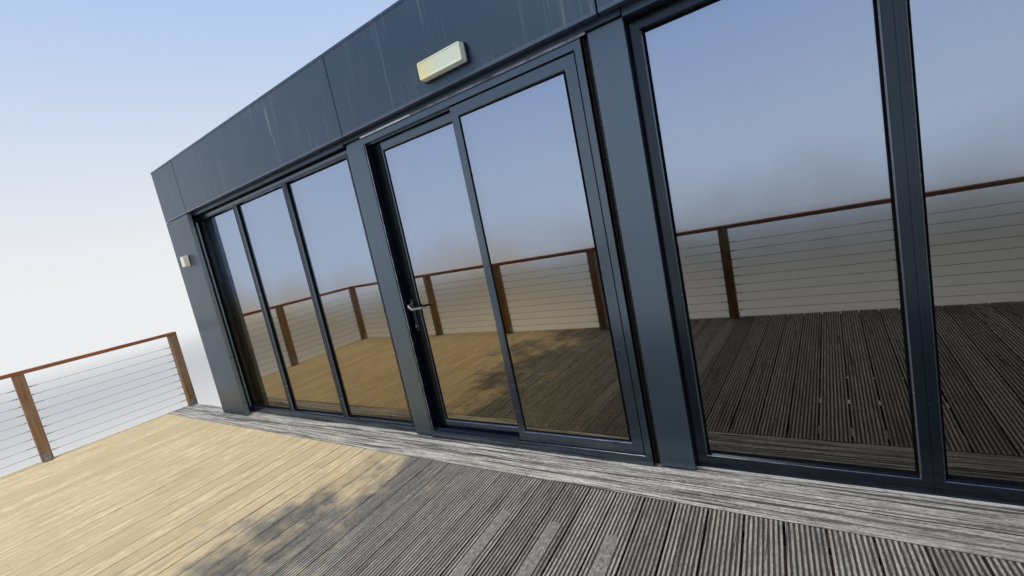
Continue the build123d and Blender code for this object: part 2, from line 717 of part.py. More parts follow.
def build():
    """All nodes by name."""
    left_run = (LEFT_WINDOW_START, -PILASTER_OUTER, LEFT_MULLION, LEFT_SETBACK)
    right_run = (PILASTER_OUTER, RIGHT_WINDOW_END, RIGHT_MULLION, RIGHT_SETBACK)
    left_frame, left_sheets = window(*left_run)
    right_frame, right_sheets = window(*right_run)
    right_frame -= mullion_joints(*right_run)
    sliding_frame, sliding_glass = sliding_leaf()
    fixed_frame, fixed_glass = leaf(
        FIXED_LEFT, INTERLOCK, FIXED_STILE, OUTER_LEAF_FRONT, DOOR_SILL, DOOR_TOP_EDGE
    )
    slot_front = FACE + DOOR_SETBACK + SLOT_SETBACK
    slot_back = FACE + DOOR_SETBACK + DOOR_DEPTH
    light_base, light_cover = bulkhead_light()
    front_y = FRONT + FRONT_POST_INSET
    face_y = FACE + FACE_POST_INSET
    rear_y = REAR - REAR_POST_INSET
    long_lines = long_bearer_lines()
    ends = end_bearer_lines()
    front_row = post_row(long_lines + ends, front_y)
    face_row = post_row(long_lines, face_y)
    end_pair = post_row(ends, FACE + BORDER_BACK - POST / 2)
    middle_row = post_row(long_lines, (face_y + rear_y) / 2)
    rear_row = post_row(long_lines, rear_y)
    side_top = FASCIA_BOTTOM - PANEL_JOINT
    rear_edge = HALF - CLADDING
    cladding_left = side_cladding(-1, PANEL_JOINT, side_top)
    cladding_right = side_cladding(1, PANEL_JOINT, side_top)
    fascia_left = side_cladding(-1, FASCIA_BOTTOM, FASCIA_TOP)
    fascia_right = side_cladding(1, FASCIA_BOTTOM, FASCIA_TOP)
    nodes = {
        "deck_posts": Compound(front_row + face_row + end_pair),
        "cabin_posts": Compound(middle_row + rear_row),
        "bearers": bearers(),
        "knee_braces": knee_braces(front_y, face_y),
        "deck_joists": deck_joists(),
        "deck_front_rim": deck_front_rim(),
        "deck_end_rims": deck_end_rims(),
        "deck_boards": deck_boards(),
        "border_boards": border_boards(),
        "rail_posts": rail_posts(),
        "front_hand_rail": front_hand_rail(),
        "side_hand_rails": side_hand_rails(),
        "front_rail_wires": front_rail_wires(),
        "left_rail_wires": side_rail_wires(-1),
        "right_rail_wires": side_rail_wires(1),
        "cabin_floor": cabin_floor(),
        "floor_skirts": floor_skirts(),
        "side_walls": Compound([side_wall(-1), side_wall(1)]),
        "rear_wall": upper(-rear_edge, rear_edge, REAR - CORE_BACK, REAR - CLADDING, 0, WALL_HEIGHT),
        "corner_piers": Compound([corner_pier(-1, LEFT_WINDOW_START), corner_pier(1, RIGHT_WINDOW_END)]),
        "corner_columns": Compound([corner_column(-1), corner_column(1)]),
        "side_cladding": Compound(cladding_left + cladding_right),
        "rear_cladding": Compound(rear_cladding(PANEL_JOINT, side_top)),
        "head_bands": head_bands(),
        "pilasters": Compound([pilaster(-1), pilaster(1)]),
        "front_fascia": front_fascia(),
        "side_fascias": Compound(fascia_left + fascia_right),
        "rear_fascia": Compound(rear_cladding(FASCIA_BOTTOM, FASCIA_TOP)),
        "roof": roof(),
        "long_parapets": long_parapets(),
        "side_parapets": side_parapets(),
        "roof_edge_trim": roof_edge_trim(),
        "left_window_frame": left_frame,
        "right_window_frame": right_frame,
        "window_glass": Compound(left_sheets + right_sheets),
        "door_frame": door_frame(),
        "door_side_filler": upper(FRAME_RIGHT, PILASTER_INNER, slot_front, slot_back, 0, DOOR_HEIGHT),
        "fixed_leaf": fixed_frame,
        "fixed_leaf_glass": fixed_glass,
        "sliding_leaf": sliding_frame,
        "sliding_leaf_glass": sliding_glass,
        "door_handle": door_handle(),
        "bulkhead_light_base": light_base,
        "bulkhead_light_cover": light_cover,
        "column_lights": Compound([column_light(-1), column_light(1)]),
    }
    return nodes


os.makedirs("parts", exist_ok=True)
for name, shape in build().items():
    export_step(shape, f"parts/{name}.step")
    print(name)
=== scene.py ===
import math
import random

import bmesh
import bpy
from mathutils import Matrix, Vector


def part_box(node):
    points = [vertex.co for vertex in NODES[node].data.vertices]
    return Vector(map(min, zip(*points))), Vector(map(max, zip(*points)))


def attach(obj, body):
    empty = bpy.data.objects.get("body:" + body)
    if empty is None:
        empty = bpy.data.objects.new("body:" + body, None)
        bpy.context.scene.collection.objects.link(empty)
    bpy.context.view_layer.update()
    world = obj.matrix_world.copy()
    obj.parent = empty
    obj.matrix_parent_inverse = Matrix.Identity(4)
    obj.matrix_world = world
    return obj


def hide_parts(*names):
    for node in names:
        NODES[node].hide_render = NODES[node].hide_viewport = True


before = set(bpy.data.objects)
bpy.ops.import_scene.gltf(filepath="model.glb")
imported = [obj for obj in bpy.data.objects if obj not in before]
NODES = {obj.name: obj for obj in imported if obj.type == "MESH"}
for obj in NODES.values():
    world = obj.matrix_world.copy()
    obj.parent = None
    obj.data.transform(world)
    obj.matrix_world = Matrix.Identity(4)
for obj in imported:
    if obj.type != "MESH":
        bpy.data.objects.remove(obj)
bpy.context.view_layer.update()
RANDOM = random.Random(58)


# ---- sizes shared with the frame

DECK_LOW, DECK_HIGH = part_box("deck_boards")
BORDER_LOW, BORDER_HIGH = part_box("border_boards")
DOOR_LOW, DOOR_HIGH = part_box("door_frame")
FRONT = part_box("front_fascia")[0].y
DECK_TOP = DECK_HIGH.z
RIM_INSET = 0.001  # how far the rims are drawn in, so that their screws stay inside the box

SKEW = math.radians(2.7)  # the grooved boards' turn against the front
SIN, COS, TAN = math.sin(SKEW), math.cos(SKEW), math.tan(SKEW)
PITCH = 0.150 / COS  # from board to board along the front
PHASE = 0.053  # x of board 0's middle on the line ORIGIN_Y
ORIGIN_Y = DECK_HIGH.y + 0.005
BOARD = 0.1425  # a board's greatest width
BOARD_STEP = 0.35  # length between two of its sections, about
BOARDS_LEFT = math.ceil((DECK_HIGH.x + (DECK_HIGH.y - DECK_LOW.y) * TAN) / PITCH)
BOARDS = range(-BOARDS_LEFT, math.ceil(DECK_HIGH.x / PITCH) + 1)
GROOVE_PITCH = 0.01875
GROOVES = [(i - 3) * GROOVE_PITCH for i in range(7)]
STRIP_START = -1.18  # y where the gritty strips end, towards the cabin
STRIP_BOARDS = (1, 3, 5)
STRIP_ROOM = 0.030  # grooves nearer to the middle make way for a strip

LAP = 0.010  # how far the frames and their sloped beads reach over the glass
GLASS_DEPTH = {"window_glass": 0.030, "fixed_leaf_glass": 0.008, "sliding_leaf_glass": 0.008}


# ---- camera

PHOTO_WIDTH = 1024.0
FOCAL_PIXELS = 434.0
SENSOR = 36.0
EYE = (1.6675, -2.814, 2.650)
LOOK = (-0.5617, 0.8177, -0.1263)
PHOTO_RIGHT = (0.8216, 0.5332, -0.2017)


def new_object(name, data):
    obj = bpy.data.objects.new(name, data)
    bpy.context.scene.collection.objects.link(obj)
    return obj


def make_camera():
    """The photograph's viewpoint, solved from the straight lines of the front."""
    forward = Vector(LOOK).normalized()
    right = Vector(PHOTO_RIGHT)
    right = (right - forward * right.dot(forward)).normalized()
    data = bpy.data.cameras.new("camera")
    data.sensor_fit = "HORIZONTAL"
    data.sensor_width = SENSOR
    data.lens = FOCAL_PIXELS / PHOTO_WIDTH * SENSOR
    data.clip_start = 0.02
    data.clip_end = 300.0
    cam = new_object("camera", data)
    place = Matrix((right, right.cross(forward), -forward)).transposed().to_4x4()
    place.translation = EYE
    cam.matrix_world = place
    bpy.context.scene.camera = cam


# ---- materials

MATERIALS = {}
SKY_REFLECTION_TINT = (0.64, 0.83, 1.0, 1.0)  # a blue tint on the coating's shine: painted reflection of a blue sky


def lin(r, g, b):
    """A colour given as it looks on screen, 0 to 255."""
    parts = (r / 255, g / 255, b / 255)
    return tuple(v / 12.92 if v <= 0.04045 else ((v + 0.055) / 1.055) ** 2.4 for v in parts)


def scaled(color, share):
    return [v * share for v in color]


class Nodes:
    """A node tree, with short calls for the nodes used here. Places are in the object's own metres."""

    def __init__(self, tree, vector="Object"):
        self.tree = tree
        self.coords = self.node("ShaderNodeTexCoord").outputs[vector]
        self.split = None

    def node(self, kind, inputs=(), **settings):
        n = self.tree.nodes.new(kind)
        for key, value in settings.items():
            setattr(n, key, value)
        for key, value in dict(inputs).items():
            if isinstance(value, bpy.types.NodeSocket):
                self.tree.links.new(value, n.inputs[key])
            else:
                n.inputs[key].default_value = value
        return n

    def axis(self, which):
        if self.split is None:
            self.split = self.node("ShaderNodeSeparateXYZ", {"Vector": self.coords})
        return self.split.outputs[which]

    def stretch(self, x, y, z, move=(0, 0, 0)):
        inputs = {"Vector": self.coords, "Location": move, "Scale": (x, y, z)}
        return self.node("ShaderNodeMapping", inputs).outputs[0]

    def grained(self, along, length, across, move=(0, 0, 0)):
        """A stretch for a grain that runs along x, y or z."""
        return self.stretch(*(length if a == along else across for a in "xyz"), move=move)

    def noise(self, vector, scale=1.0, detail=3.0, rough=0.55, distortion=0.0):
        inputs = {"Vector": vector, "Scale": scale, "Detail": detail}
        inputs.update({"Roughness": rough, "Distortion": distortion})
        return self.node("ShaderNodeTexNoise", inputs).outputs["Fac"]

    def dice(self, number):
        """One random value for each whole number."""
        return self.node("ShaderNodeTexWhiteNoise", {"W": number}, noise_dimensions="1D").outputs["Value"]

    def spots(self, vector, scale, size, edge):
        """1 in small round spots, one in each cell."""
        d = self.node("ShaderNodeTexVoronoi", {"Vector": vector, "Scale": scale}).outputs["Distance"]
        return self.smooth(d, size, size - edge)

    def math(self, op, first, *others):
        for other in others or (0.0,):
            first = self.node("ShaderNodeMath", {0: first, 1: other}, operation=op).outputs[0]
        return first

    def add(self, *values):
        return self.math("ADD", *values)

    def sub(self, a, b):
        return self.math("SUBTRACT", a, b)

    def mul(self, *values):
        return self.math("MULTIPLY", *values)

    def most(self, *values):
        return self.math("MAXIMUM", *values)

    def smooth(self, value, low=0.3, high=0.7, to_low=0.0, to_high=1.0):
        inputs = {"Value": value, "From Min": low, "From Max": high, "To Min": to_low, "To Max": to_high}
        return self.node("ShaderNodeMapRange", inputs, interpolation_type="SMOOTHSTEP").outputs[0]

    def mix(self, factor, a, b):
        inputs = {0: factor}
        for index, value in ((6, a), (7, b)):
            inputs[index] = value if isinstance(value, bpy.types.NodeSocket) else (*value, 1.0)
        return self.node("ShaderNodeMix", inputs, data_type="RGBA").outputs[2]

    def tint(self, below, above, value, low=0.3, high=0.7, most=1.0):
        """The colour below, and up to most of the colour above as the value goes from low to high."""
        return self.mix(self.smooth(value, low, high, 0.0, most), below, above)


class Mat(Nodes):
    """A Principled material, found by its name in MATERIALS."""

    def __init__(self, name, **sockets):
        mat = bpy.data.materials.new(name)
        mat.use_nodes = True
        super().__init__(mat.node_tree)
        self.shader = self.tree.nodes["Principled BSDF"]
        for key, value in sockets.items():
            self.shader.inputs[key.replace("_", " ")].default_value = value
        MATERIALS[name] = mat

    def color(self, socket):
        self.tree.links.new(socket, self.shader.inputs["Base Color"])

    def rough(self, value, low, high, extra=None):
        """Roughness from low to high over a noise, with what comes on top of it."""
        level = self.smooth(value, to_low=low, to_high=high)
        if extra is not None:
            level = self.add(level, extra)
        self.tree.links.new(level, self.shader.inputs["Roughness"])

    def bump(self, height, strength, distance, below=None):
        inputs = {"Height": height, "Strength": strength, "Distance": distance}
        if below is not None:
            inputs["Normal"] = below
        out = self.node("ShaderNodeBump", inputs).outputs[0]
        self.tree.links.new(out, self.shader.inputs["Normal"])
        return out


def panel_material(name, drips=(), marks=1.0, ior=1.95):
    """Satin coated sheet in dark navy, with rain streaks, dust and a faint waviness."""
    m = Mat(name, IOR=ior, Specular_Tint=SKY_REFLECTION_TINT)
    broad = m.noise(m.coords, 0.7, 3)
    wide = m.noise(m.stretch(23, 23, 0.5), 1.0, 4, 0.6)
    fine = m.noise(m.stretch(95, 95, 1.3), 1.0, 3, 0.6)
    where = m.smooth(m.noise(m.coords, 1.6, 2), 0.42, 0.62)
    streak = m.most(m.mul(m.smooth(fine, 0.56, 0.72), where), m.smooth(wide, 0.60, 0.78, 0.0, 0.6))
    specks = m.mul(m.spots(m.coords, 26, 0.10, 0.06), m.smooth(broad, 0.5, 0.62))
    streak = m.mul(m.most(streak, m.mul(specks, 0.7)), 0.10 * marks)
    for x, low, high, width, amount in drips:
        line = m.add(m.axis(0), m.mul(m.noise(m.stretch(0, 0, 7), 1.0, 2), 0.03))
        body = m.smooth(m.math("ABSOLUTE", m.sub(line, x + 0.015)), width, width * 0.2)
        foot = m.smooth(m.axis(2), low - 0.05, low + 0.04)
        ends = m.mul(foot, m.smooth(m.axis(2), high + 0.02, high - 0.05))
        streak = m.most(streak, m.mul(m.mul(body, ends), amount))
    m.color(m.mix(streak, m.tint(lin(15, 24, 41), lin(21, 32, 50), broad), lin(190, 195, 196)))
    m.rough(broad, 0.27, 0.34, m.mul(streak, 0.5))
    waves = m.bump(m.noise(m.coords, 1.3, 1), 0.2, 0.008)
    m.bump(m.noise(m.coords, 420, 2), 0.05, 0.0005, waves)


def frame_material(name, dark, light, roughness=0.16, dusty=0.06, ior=1.95):
    """Coated aluminium sections, with dust in places."""
    m = Mat(name, IOR=ior, Specular_Tint=SKY_REFLECTION_TINT)
    broad = m.noise(m.coords, 2.1, 3)
    dust = m.smooth(m.noise(m.stretch(9, 9, 30), 1.0, 4, 0.65), 0.58, 0.75)
    m.color(m.mix(m.mul(dust, dusty), m.mix(broad, dark, light), lin(150, 150, 142)))
    m.rough(broad, roughness, roughness + 0.07, m.mul(dust, 0.2))
    m.bump(m.noise(m.coords, 500, 2), 0.06, 0.0004)


def filler_material(name):
    """Dark glossy strip with brown patches on it: painted reflection of the deck."""
    m = Mat(name, Specular_IOR_Level=0.3)
    n = m.noise(m.stretch(30, 30, 7), 1.0, 5, 0.7, 0.5)
    broad = m.noise(m.stretch(3, 3, 1.6), 1.0, 3)
    # brown patches: painted reflection of the deck
    brown_reflection = m.mul(m.smooth(n, 0.50, 0.66), m.smooth(broad, 0.50, 0.66))
    m.color(m.mix(m.mul(brown_reflection, 0.6), m.mix(n, lin(6, 8, 11), lin(16, 20, 24)), lin(120, 108, 84)))
    m.rough(n, 0.22, 0.55)
    m.bump(n, 0.3, 0.0012)


def glass_material(name, tint, reflection_left, reflection_right, see_through):
    """Coated glazing that mirrors the daylight, with a painted darker reflection of the ground towards its
    foot, and the room dim behind it.
    """
    m = Mat(name, Metallic=1.0, Alpha=see_through)
    film = m.noise(m.coords, 1.1, 3)
    smear = m.smooth(m.noise(m.stretch(5, 5, 2), 1.0, 5, 0.7, 0.6), 0.55, 0.8)
    height = m.add(m.axis(2), m.mul(film, 0.5))
    # Towards the foot: painted reflection of the ground, warm on the left and grey on the right.
    painted_ground_reflection = m.tint(reflection_left, reflection_right, m.axis(0), 0.0, 1.4)
    m.color(m.tint(painted_ground_reflection, m.mix(film, tint, scaled(tint, 1.08)), height, 2.45, 3.05))
    m.rough(film, 0.006, 0.014, m.mul(smear, 0.03))
    m.bump(m.noise(m.coords, 0.9, 1), 0.1, 0.002)
    MATERIALS[name].surface_render_method = "BLENDED"


def rubber_material(name):
    m = Mat(name, Specular_IOR_Level=0.06)
    n = m.noise(m.coords, 60, 4)
    m.color(m.tint(lin(6, 7, 9), lin(20, 21, 24), n, 0.35, 0.75))
    m.rough(n, 0.55, 0.75)
    m.bump(n, 0.2, 0.001)


def metal_material(name, dark, light, roughness):
    """Brushed or drawn bare metal, duller in patches."""
    m = Mat(name, Metallic=1.0)
    grain = m.noise(m.coords, 320, 3)
    dull = m.noise(m.coords, 14, 4)
    m.color(m.tint(light, dark, dull, 0.3, 0.75))
    m.rough(dull, roughness, roughness + 0.16, m.smooth(grain, to_high=0.12))
    m.bump(grain, 0.12, 0.0004)


def white_material(name, clean, aged, one_sided=False):
    """Moulded or coated white, aged and spotted. one_sided is yellowed towards its left end only."""
    m = Mat(name)
    broad = m.noise(m.coords, 9, 3)
    side = m.smooth(m.axis(0), 0.08, -0.11) if one_sided else broad
    base = m.mix(m.mul(side, m.smooth(broad, 0.25, 0.75, 0.5, 1.0)), clean, aged)
    m.color(m.mix(m.mul(m.spots(m.coords, 75, 0.14, 0.08), 0.35), base, lin(120, 116, 84)))
    m.rough(broad, 0.4, 0.55)
    m.bump(m.noise(m.coords, 180, 3), 0.1, 0.001)


def wood_material(name, along, pale, dark, weather):
    """Timber with its grain along one axis. weather is the colour that sun and rain leave in patches."""
    m = Mat(name)
    grain = m.noise(m.grained(along, 1, 22), 1.9, 5, 0.62, 0.35)
    fibre = m.noise(m.grained(along, 3, 110), 2.0, 4, 0.7)
    knots = m.spots(m.grained(along, 1.7, 5.5, (3.1, 1.7, 0.4)), 1.0, 0.11, 0.05)
    cracks = m.smooth(fibre, 0.36, 0.27)
    tone = m.tint(dark, pale, grain, 0.32, 0.68)
    tone = m.tint(tone, weather, m.noise(m.coords, 2.2, 5, 0.65), 0.38, 0.66)
    tone = m.mix(m.mul(knots, 0.5), tone, scaled(dark, 0.4))
    tone = m.mix(m.mul(cracks, 0.55), tone, scaled(dark, 0.3))
    m.color(m.tint(tone, scaled(pale, 0.55), m.noise(m.coords, 1.5, 2), most=0.16))
    m.rough(grain, 0.66, 0.84)
    m.bump(m.sub(m.mul(grain, 0.7), m.mul(cracks, 0.8)), 0.5, 0.0012)


def weathered(name, along, pale, mid, dark, fine=1.0, checks=0.355):
    """Bare timber left to sun and rain: bleached fibres, dark checks and a dry furrowed surface."""
    m = Mat(name)
    wide = m.noise(m.grained(along, 1.3, 26), 1.0, 4, 0.62, 0.5)
    streak = m.noise(m.grained(along, 3.4, 120 * fine), 1.0, 5, 0.72, 0.3)
    fibre = m.noise(m.grained(along, 30, 380 * fine), 1.0, 4, 0.8)
    fleck = m.noise(m.grained(along, 48, 210 * fine, (1.7, 0.4, 0.2)), 1.0, 4, 0.75)
    crack = m.noise(m.grained(along, 0.8, 52, (0.3, 2.1, 0.0)), 1.0, 3, 0.6)
    tone = m.tint(mid, pale, streak, 0.36, 0.62)
    tone = m.tint(tone, dark, wide, 0.50, 0.72, 0.6)
    tone = m.tint(tone, scaled(pale, 0.8), m.noise(m.coords, 2.4, 5, 0.65), 0.46, 0.70, 0.4)
    tone = m.tint(tone, [min(v * 1.5, 0.85) for v in pale], fleck, 0.55, 0.68, 0.7)
    tone = m.tint(tone, scaled(dark, 0.4), fleck, 0.46, 0.34, 0.7)
    pit = m.smooth(fibre, 0.46, 0.32)
    check = m.smooth(crack, checks, checks - 0.03)
    tone = m.mix(m.mul(pit, 0.62), tone, scaled(dark, 0.45))
    tone = m.mix(m.mul(check, 0.85), tone, scaled(dark, 0.2))
    m.rough(streak, 0.74, 0.95)
    m.bump(m.sub(m.add(streak, fleck), m.add(m.mul(pit, 0.6), check)), 0.8, 0.0022)
    return m, tone


def deck_material(name):
    """Bleached grey decking with painted sunlight in a cream patch, and painted shade with some algae in its
    grooves.
    """
    m, tone = weathered(name, "y", lin(180, 178, 173), lin(122, 121, 118), lin(78, 77, 76))
    start = PHASE - PITCH / 2 + ORIGIN_Y * TAN
    across = m.sub(m.add(m.axis(0), m.mul(m.axis(1), TAN)), start)
    board = m.math("FLOOR", m.math("DIVIDE", across, PITCH))
    shade, hue = m.dice(board), m.dice(m.add(board, 71.3))
    tone = m.tint(tone, lin(68, 67, 68), shade, 0.35, 1.0, 0.38)
    tone = m.mix(m.mul(hue, 0.16), tone, lin(150, 138, 116))

    # Painted sunlight: a cream patch towards the left, away from the cabin, its edge mottled into dapples.
    edge = m.add(m.axis(0), m.mul(m.noise(m.coords, 2.0, 4, 0.6), 2.6))
    edge = m.add(edge, m.mul(m.noise(m.coords, 6.5, 3, 0.6), 1.1))
    painted_sunlight = m.mul(m.smooth(edge, 1.15, 0.25, 0.0, 0.86), m.smooth(m.axis(1), -0.50, -0.9))
    lines = m.smooth(m.noise(m.stretch(34, 2.0, 0), 1.0, 4, 0.65), 0.42, 0.60, 0.0, 0.55)
    flecks = m.smooth(m.noise(m.stretch(90, 9, 0, (0.7, 0.2, 0)), 1.0, 4, 0.7), 0.46, 0.62, 0.0, 0.55)
    trodden = m.smooth(m.noise(m.coords, 3.5, 5, 0.7), 0.44, 0.66, 0.0, 0.45)
    worn = m.most(lines, flecks, trodden, m.smooth(shade, 0.3, 1.0, 0.0, 0.45))
    tone = m.mix(painted_sunlight, tone, m.mix(worn, lin(255, 241, 202), lin(166, 142, 106)))

    # Painted shade in the grooves and along the ridges' ragged edges, weaker in the painted sunlight.
    from_middle = m.math("ABSOLUTE", m.sub(m.math("FLOORED_MODULO", across, PITCH), PITCH / 2))
    from_groove = m.math("PINGPONG", from_middle, GROOVE_PITCH / 2)
    torn = m.mul(m.sub(m.noise(m.stretch(150, 30, 0), 1.0, 4, 0.75), 0.5), 0.0105)
    ragged_groove_shade = m.smooth(m.add(from_groove, torn), 0.0062, 0.0044, 0.0, 0.7)
    ragged_groove_shade = m.mul(ragged_groove_shade, m.sub(1.0, m.mul(painted_sunlight, 0.7)))
    low = m.most(m.smooth(m.axis(2), DECK_TOP - 0.0019, DECK_TOP - 0.0034, 0.0, 0.9), ragged_groove_shade)
    # The grooves' colour: painted shade with some algae, paler in the painted sunlight.
    algae = m.smooth(m.noise(m.coords, 5, 3), 0.45, 0.65)
    groove_shade_and_algae = m.mix(m.mul(algae, 0.5), lin(33, 33, 33), lin(42, 44, 34))
    m.color(m.mix(low, tone, m.mix(painted_sunlight, groove_shade_and_algae, lin(192, 166, 122))))


def border_material(name):
    """The bleached boards at the foot of the front, with a band of painted sunlight next to the cabin, and
    painted shade towards the right and in their grooves.
    """
    m, tone = weathered(name, "x", lin(204, 202, 197), lin(118, 117, 114), lin(50, 49, 47), 0.8, 0.405)
    bands = m.noise(m.stretch(0.6, 42, 0, (0, 0.9, 0)), 1.0, 4, 0.6)
    tone = m.tint(tone, lin(66, 65, 62), bands, 0.53, 0.62, 0.75)
    # Painted shade towards the right.
    tone = m.tint(tone, lin(78, 78, 76), m.axis(0), 0.9, 2.6, 0.38)
    # A band of painted sunlight next to the cabin's front.
    grain = m.smooth(m.noise(m.stretch(5, 90, 0), 1.0, 3), 0.35, 0.6)
    foot = m.mul(m.smooth(m.axis(1), FRONT + 0.112, FRONT + 0.122, 0.0, 0.8), grain)
    tone = m.mix(foot, tone, lin(196, 198, 202))
    # Painted shade in the grooves and gaps.
    m.color(m.tint(tone, lin(38, 37, 37), m.axis(2), DECK_TOP - 0.0016, DECK_TOP - 0.0030, 0.9))


def grit_material(name):
    """The gritty resin strip let into the boards, with the deck's painted sunlight towards the left."""
    m = Mat(name)
    broad = m.noise(m.coords, 6, 4)
    grain = m.noise(m.coords, 700, 2)
    patch = m.noise(m.stretch(90, 40, 90), 1.0, 5, 0.75)
    tone = m.tint(lin(92, 92, 93), lin(134, 134, 134), grain, 0.35, 0.65)
    tone = m.tint(tone, lin(176, 174, 169), patch, 0.52, 0.64, 0.8)
    tone = m.tint(tone, lin(66, 66, 66), patch, 0.46, 0.36, 0.8)
    tone = m.tint(tone, lin(122, 115, 102), broad, 0.35, 0.7, 0.35)
    # Painted sunlight towards the left, as on the boards.
    edge = m.add(m.axis(0), m.mul(broad, 1.2))
    m.color(m.tint(tone, lin(208, 188, 148), edge, -0.1, -1.6, 0.8))
    m.rough(broad, 0.82, 0.95)
    m.bump(grain, 0.5, 0.0015)


def plaster_material(name, a, b):
    m = Mat(name)
    broad = m.noise(m.coords, 1.8, 4)
    m.color(m.tint(a, b, broad))
    m.rough(broad, 0.75, 0.9)
    m.bump(m.noise(m.coords, 90, 4), 0.15, 0.001)


def floor_plank_material(name):
    """Oiled boards laid along the room, with end joints."""
    m = Mat(name)
    bricks = {"Vector": m.coords, "Scale": 1.0, "Bias": 0.0, "Brick Width": 1.7, "Row Height": 0.19}
    bricks.update({"Mortar Size": 0.0022, "Mortar Smooth": 0.3})
    for key, color in (("Color1", (150, 118, 84)), ("Color2", (126, 97, 68)), ("Mortar", (38, 30, 24))):
        bricks[key] = (*lin(*color), 1)
    brick = m.node("ShaderNodeTexBrick", bricks, offset=0.37)
    grain = m.noise(m.stretch(1.2, 26, 26), 2.0, 5, 0.6, 0.3)
    m.color(m.tint(brick.outputs["Color"], lin(92, 68, 46), grain, most=0.5))
    m.rough(grain, 0.42, 0.6)
    m.bump(m.add(m.mul(grain, 0.3), m.mul(brick.outputs["Fac"], -1.0)), 0.4, 0.001)


def roof_material(name):
    """Grey roofing sheet with dust and dried puddles."""
    m = Mat(name)
    broad = m.noise(m.coords, 0.9, 5, 0.6)
    tide = m.smooth(m.math("ABSOLUTE", m.sub(m.noise(m.coords, 0.55, 3), 0.52)), 0.03, 0.0)
    tone = m.tint(lin(98, 100, 102), lin(128, 128, 124), broad, 0.32, 0.7)
    m.color(m.mix(m.mul(tide, 0.2), tone, lin(160, 156, 144)))
    m.rough(broad, 0.62, 0.8)
    m.bump(m.noise(m.coords, 130, 3), 0.25, 0.001)


def brush_material(name):
    m = Mat(name)
    pile = m.noise(m.stretch(60, 60, 900), 1.0, 2)
    m.color(m.tint(lin(8, 8, 9), lin(30, 29, 27), pile))
    m.rough(pile, 0.5, 0.8)
    m.bump(pile, 0.6, 0.002)


# ---- mesh tools

def add_piece(name, bm, material, body="cabin", stands_for=(), smooth=False):
    mesh = bpy.data.meshes.new(name)
    bm.normal_update()
    bm.to_mesh(mesh)
    bm.free()
    obj = new_object(name, mesh)
    mesh.materials.append(MATERIALS[material])
    for face in mesh.polygons:
        face.use_smooth = smooth
    if smooth:
        mesh.set_sharp_from_angle(angle=math.radians(38))
    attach(obj, body)
    if stands_for:
        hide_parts(*stands_for)


def outwards(bm):
    bmesh.ops.recalc_face_normals(bm, faces=bm.faces)
    return bm


def welded(node):
    """The node's mesh with its split corners joined."""
    bm = bmesh.new()
    bm.from_mesh(NODES[node].data)
    bmesh.ops.remove_doubles(bm, verts=bm.verts, dist=1e-5)
    return bm


def islands(node):
    """Lowest and highest corner of each separate solid of a node, from left to right."""
    bm = welded(node)
    left = set(bm.verts)
    found = []
    while left:
        stack = [left.pop()]
        group = []
        while stack:
            v = stack.pop()
            group.append(v.co.copy())
            near = {e.other_vert(v) for e in v.link_edges} & left
            left -= near
            stack.extend(near)
        found.append([Vector([pick(c[i] for c in group) for i in range(3)]) for pick in (min, max)])
    bm.free()
    return sorted(found, key=lambda box: [round(v, 4) for v in box[0]])


def round_edges(bm, width, segments=1):
    edges = [e for e in bm.edges if e.is_manifold and e.calc_face_angle(0) > math.radians(35)]
    bmesh.ops.bevel(
        bm, geom=edges, offset=width, offset_type="OFFSET", segments=segments, profile=0.5, affect="EDGES",
        clamp_overlap=True,
    )


def soften(node, name, material, slot, width, segments=2, inset=0.0):
    """The node's own shape with eased edges; inset draws the deck's outermost faces in by as much."""
    bm = welded(node)
    bmesh.ops.dissolve_limit(bm, angle_limit=math.radians(0.5), verts=bm.verts, edges=bm.edges)
    for v in bm.verts:
        if v.co.y < DECK_LOW.y + 0.0005:
            v.co.y += inset
        if abs(v.co.x) > DECK_HIGH.x - 0.0005:
            v.co.x -= math.copysign(inset, v.co.x)
    round_edges(bm, width, segments)
    add_piece(name, bm, material, stands_for=(node,))


def put_box(bm, a, b):
    """A box between two opposite corners."""
    a, b = Vector(a), Vector(b)
    place = Matrix.Translation((a + b) / 2) @ Matrix.Diagonal((*map(abs, b - a), 1))
    return bmesh.ops.create_cube(bm, size=1.0, matrix=place)["verts"]


def add_boxes(name, boxes, material, width=0.0, segments=1, body="cabin"):
    """One piece of boxes with eased edges, each given by two opposite corners."""
    bm = bmesh.new()
    for a, b in boxes:
        put_box(bm, a, b)
    if width:
        round_edges(bm, width, segments)
    add_piece(name, bm, material, body)


def facing(at, direction):
    """The place whose z axis points in a direction."""
    return Matrix.Translation(at) @ Vector(direction).to_track_quat("Z", "Y").to_matrix().to_4x4()


def tube(bm, a, b, radius, sides=10, caps=True, end_radius=None):
    a, b = Vector(a), Vector(b)
    bmesh.ops.create_cone(
        bm, cap_ends=caps, segments=sides, radius1=radius, radius2=end_radius or radius, depth=(b - a).length,
        matrix=facing((a + b) / 2, b - a),
    )


def hex_bolt(bm, at, direction, size, height):
    """A hexagon head with a rounded top, on a washer."""
    washer, chamfer = 0.003, 0.002
    radius = size / 2 * 1.15
    at, d = Vector(at), Vector(direction)
    tube(bm, at, at + d * washer, size * 1.05, 18)
    tube(bm, at + d * washer, at + d * height, radius, 6)
    tube(bm, at + d * height, at + d * (height + chamfer), radius, 6, end_radius=size / 2 * 0.85)


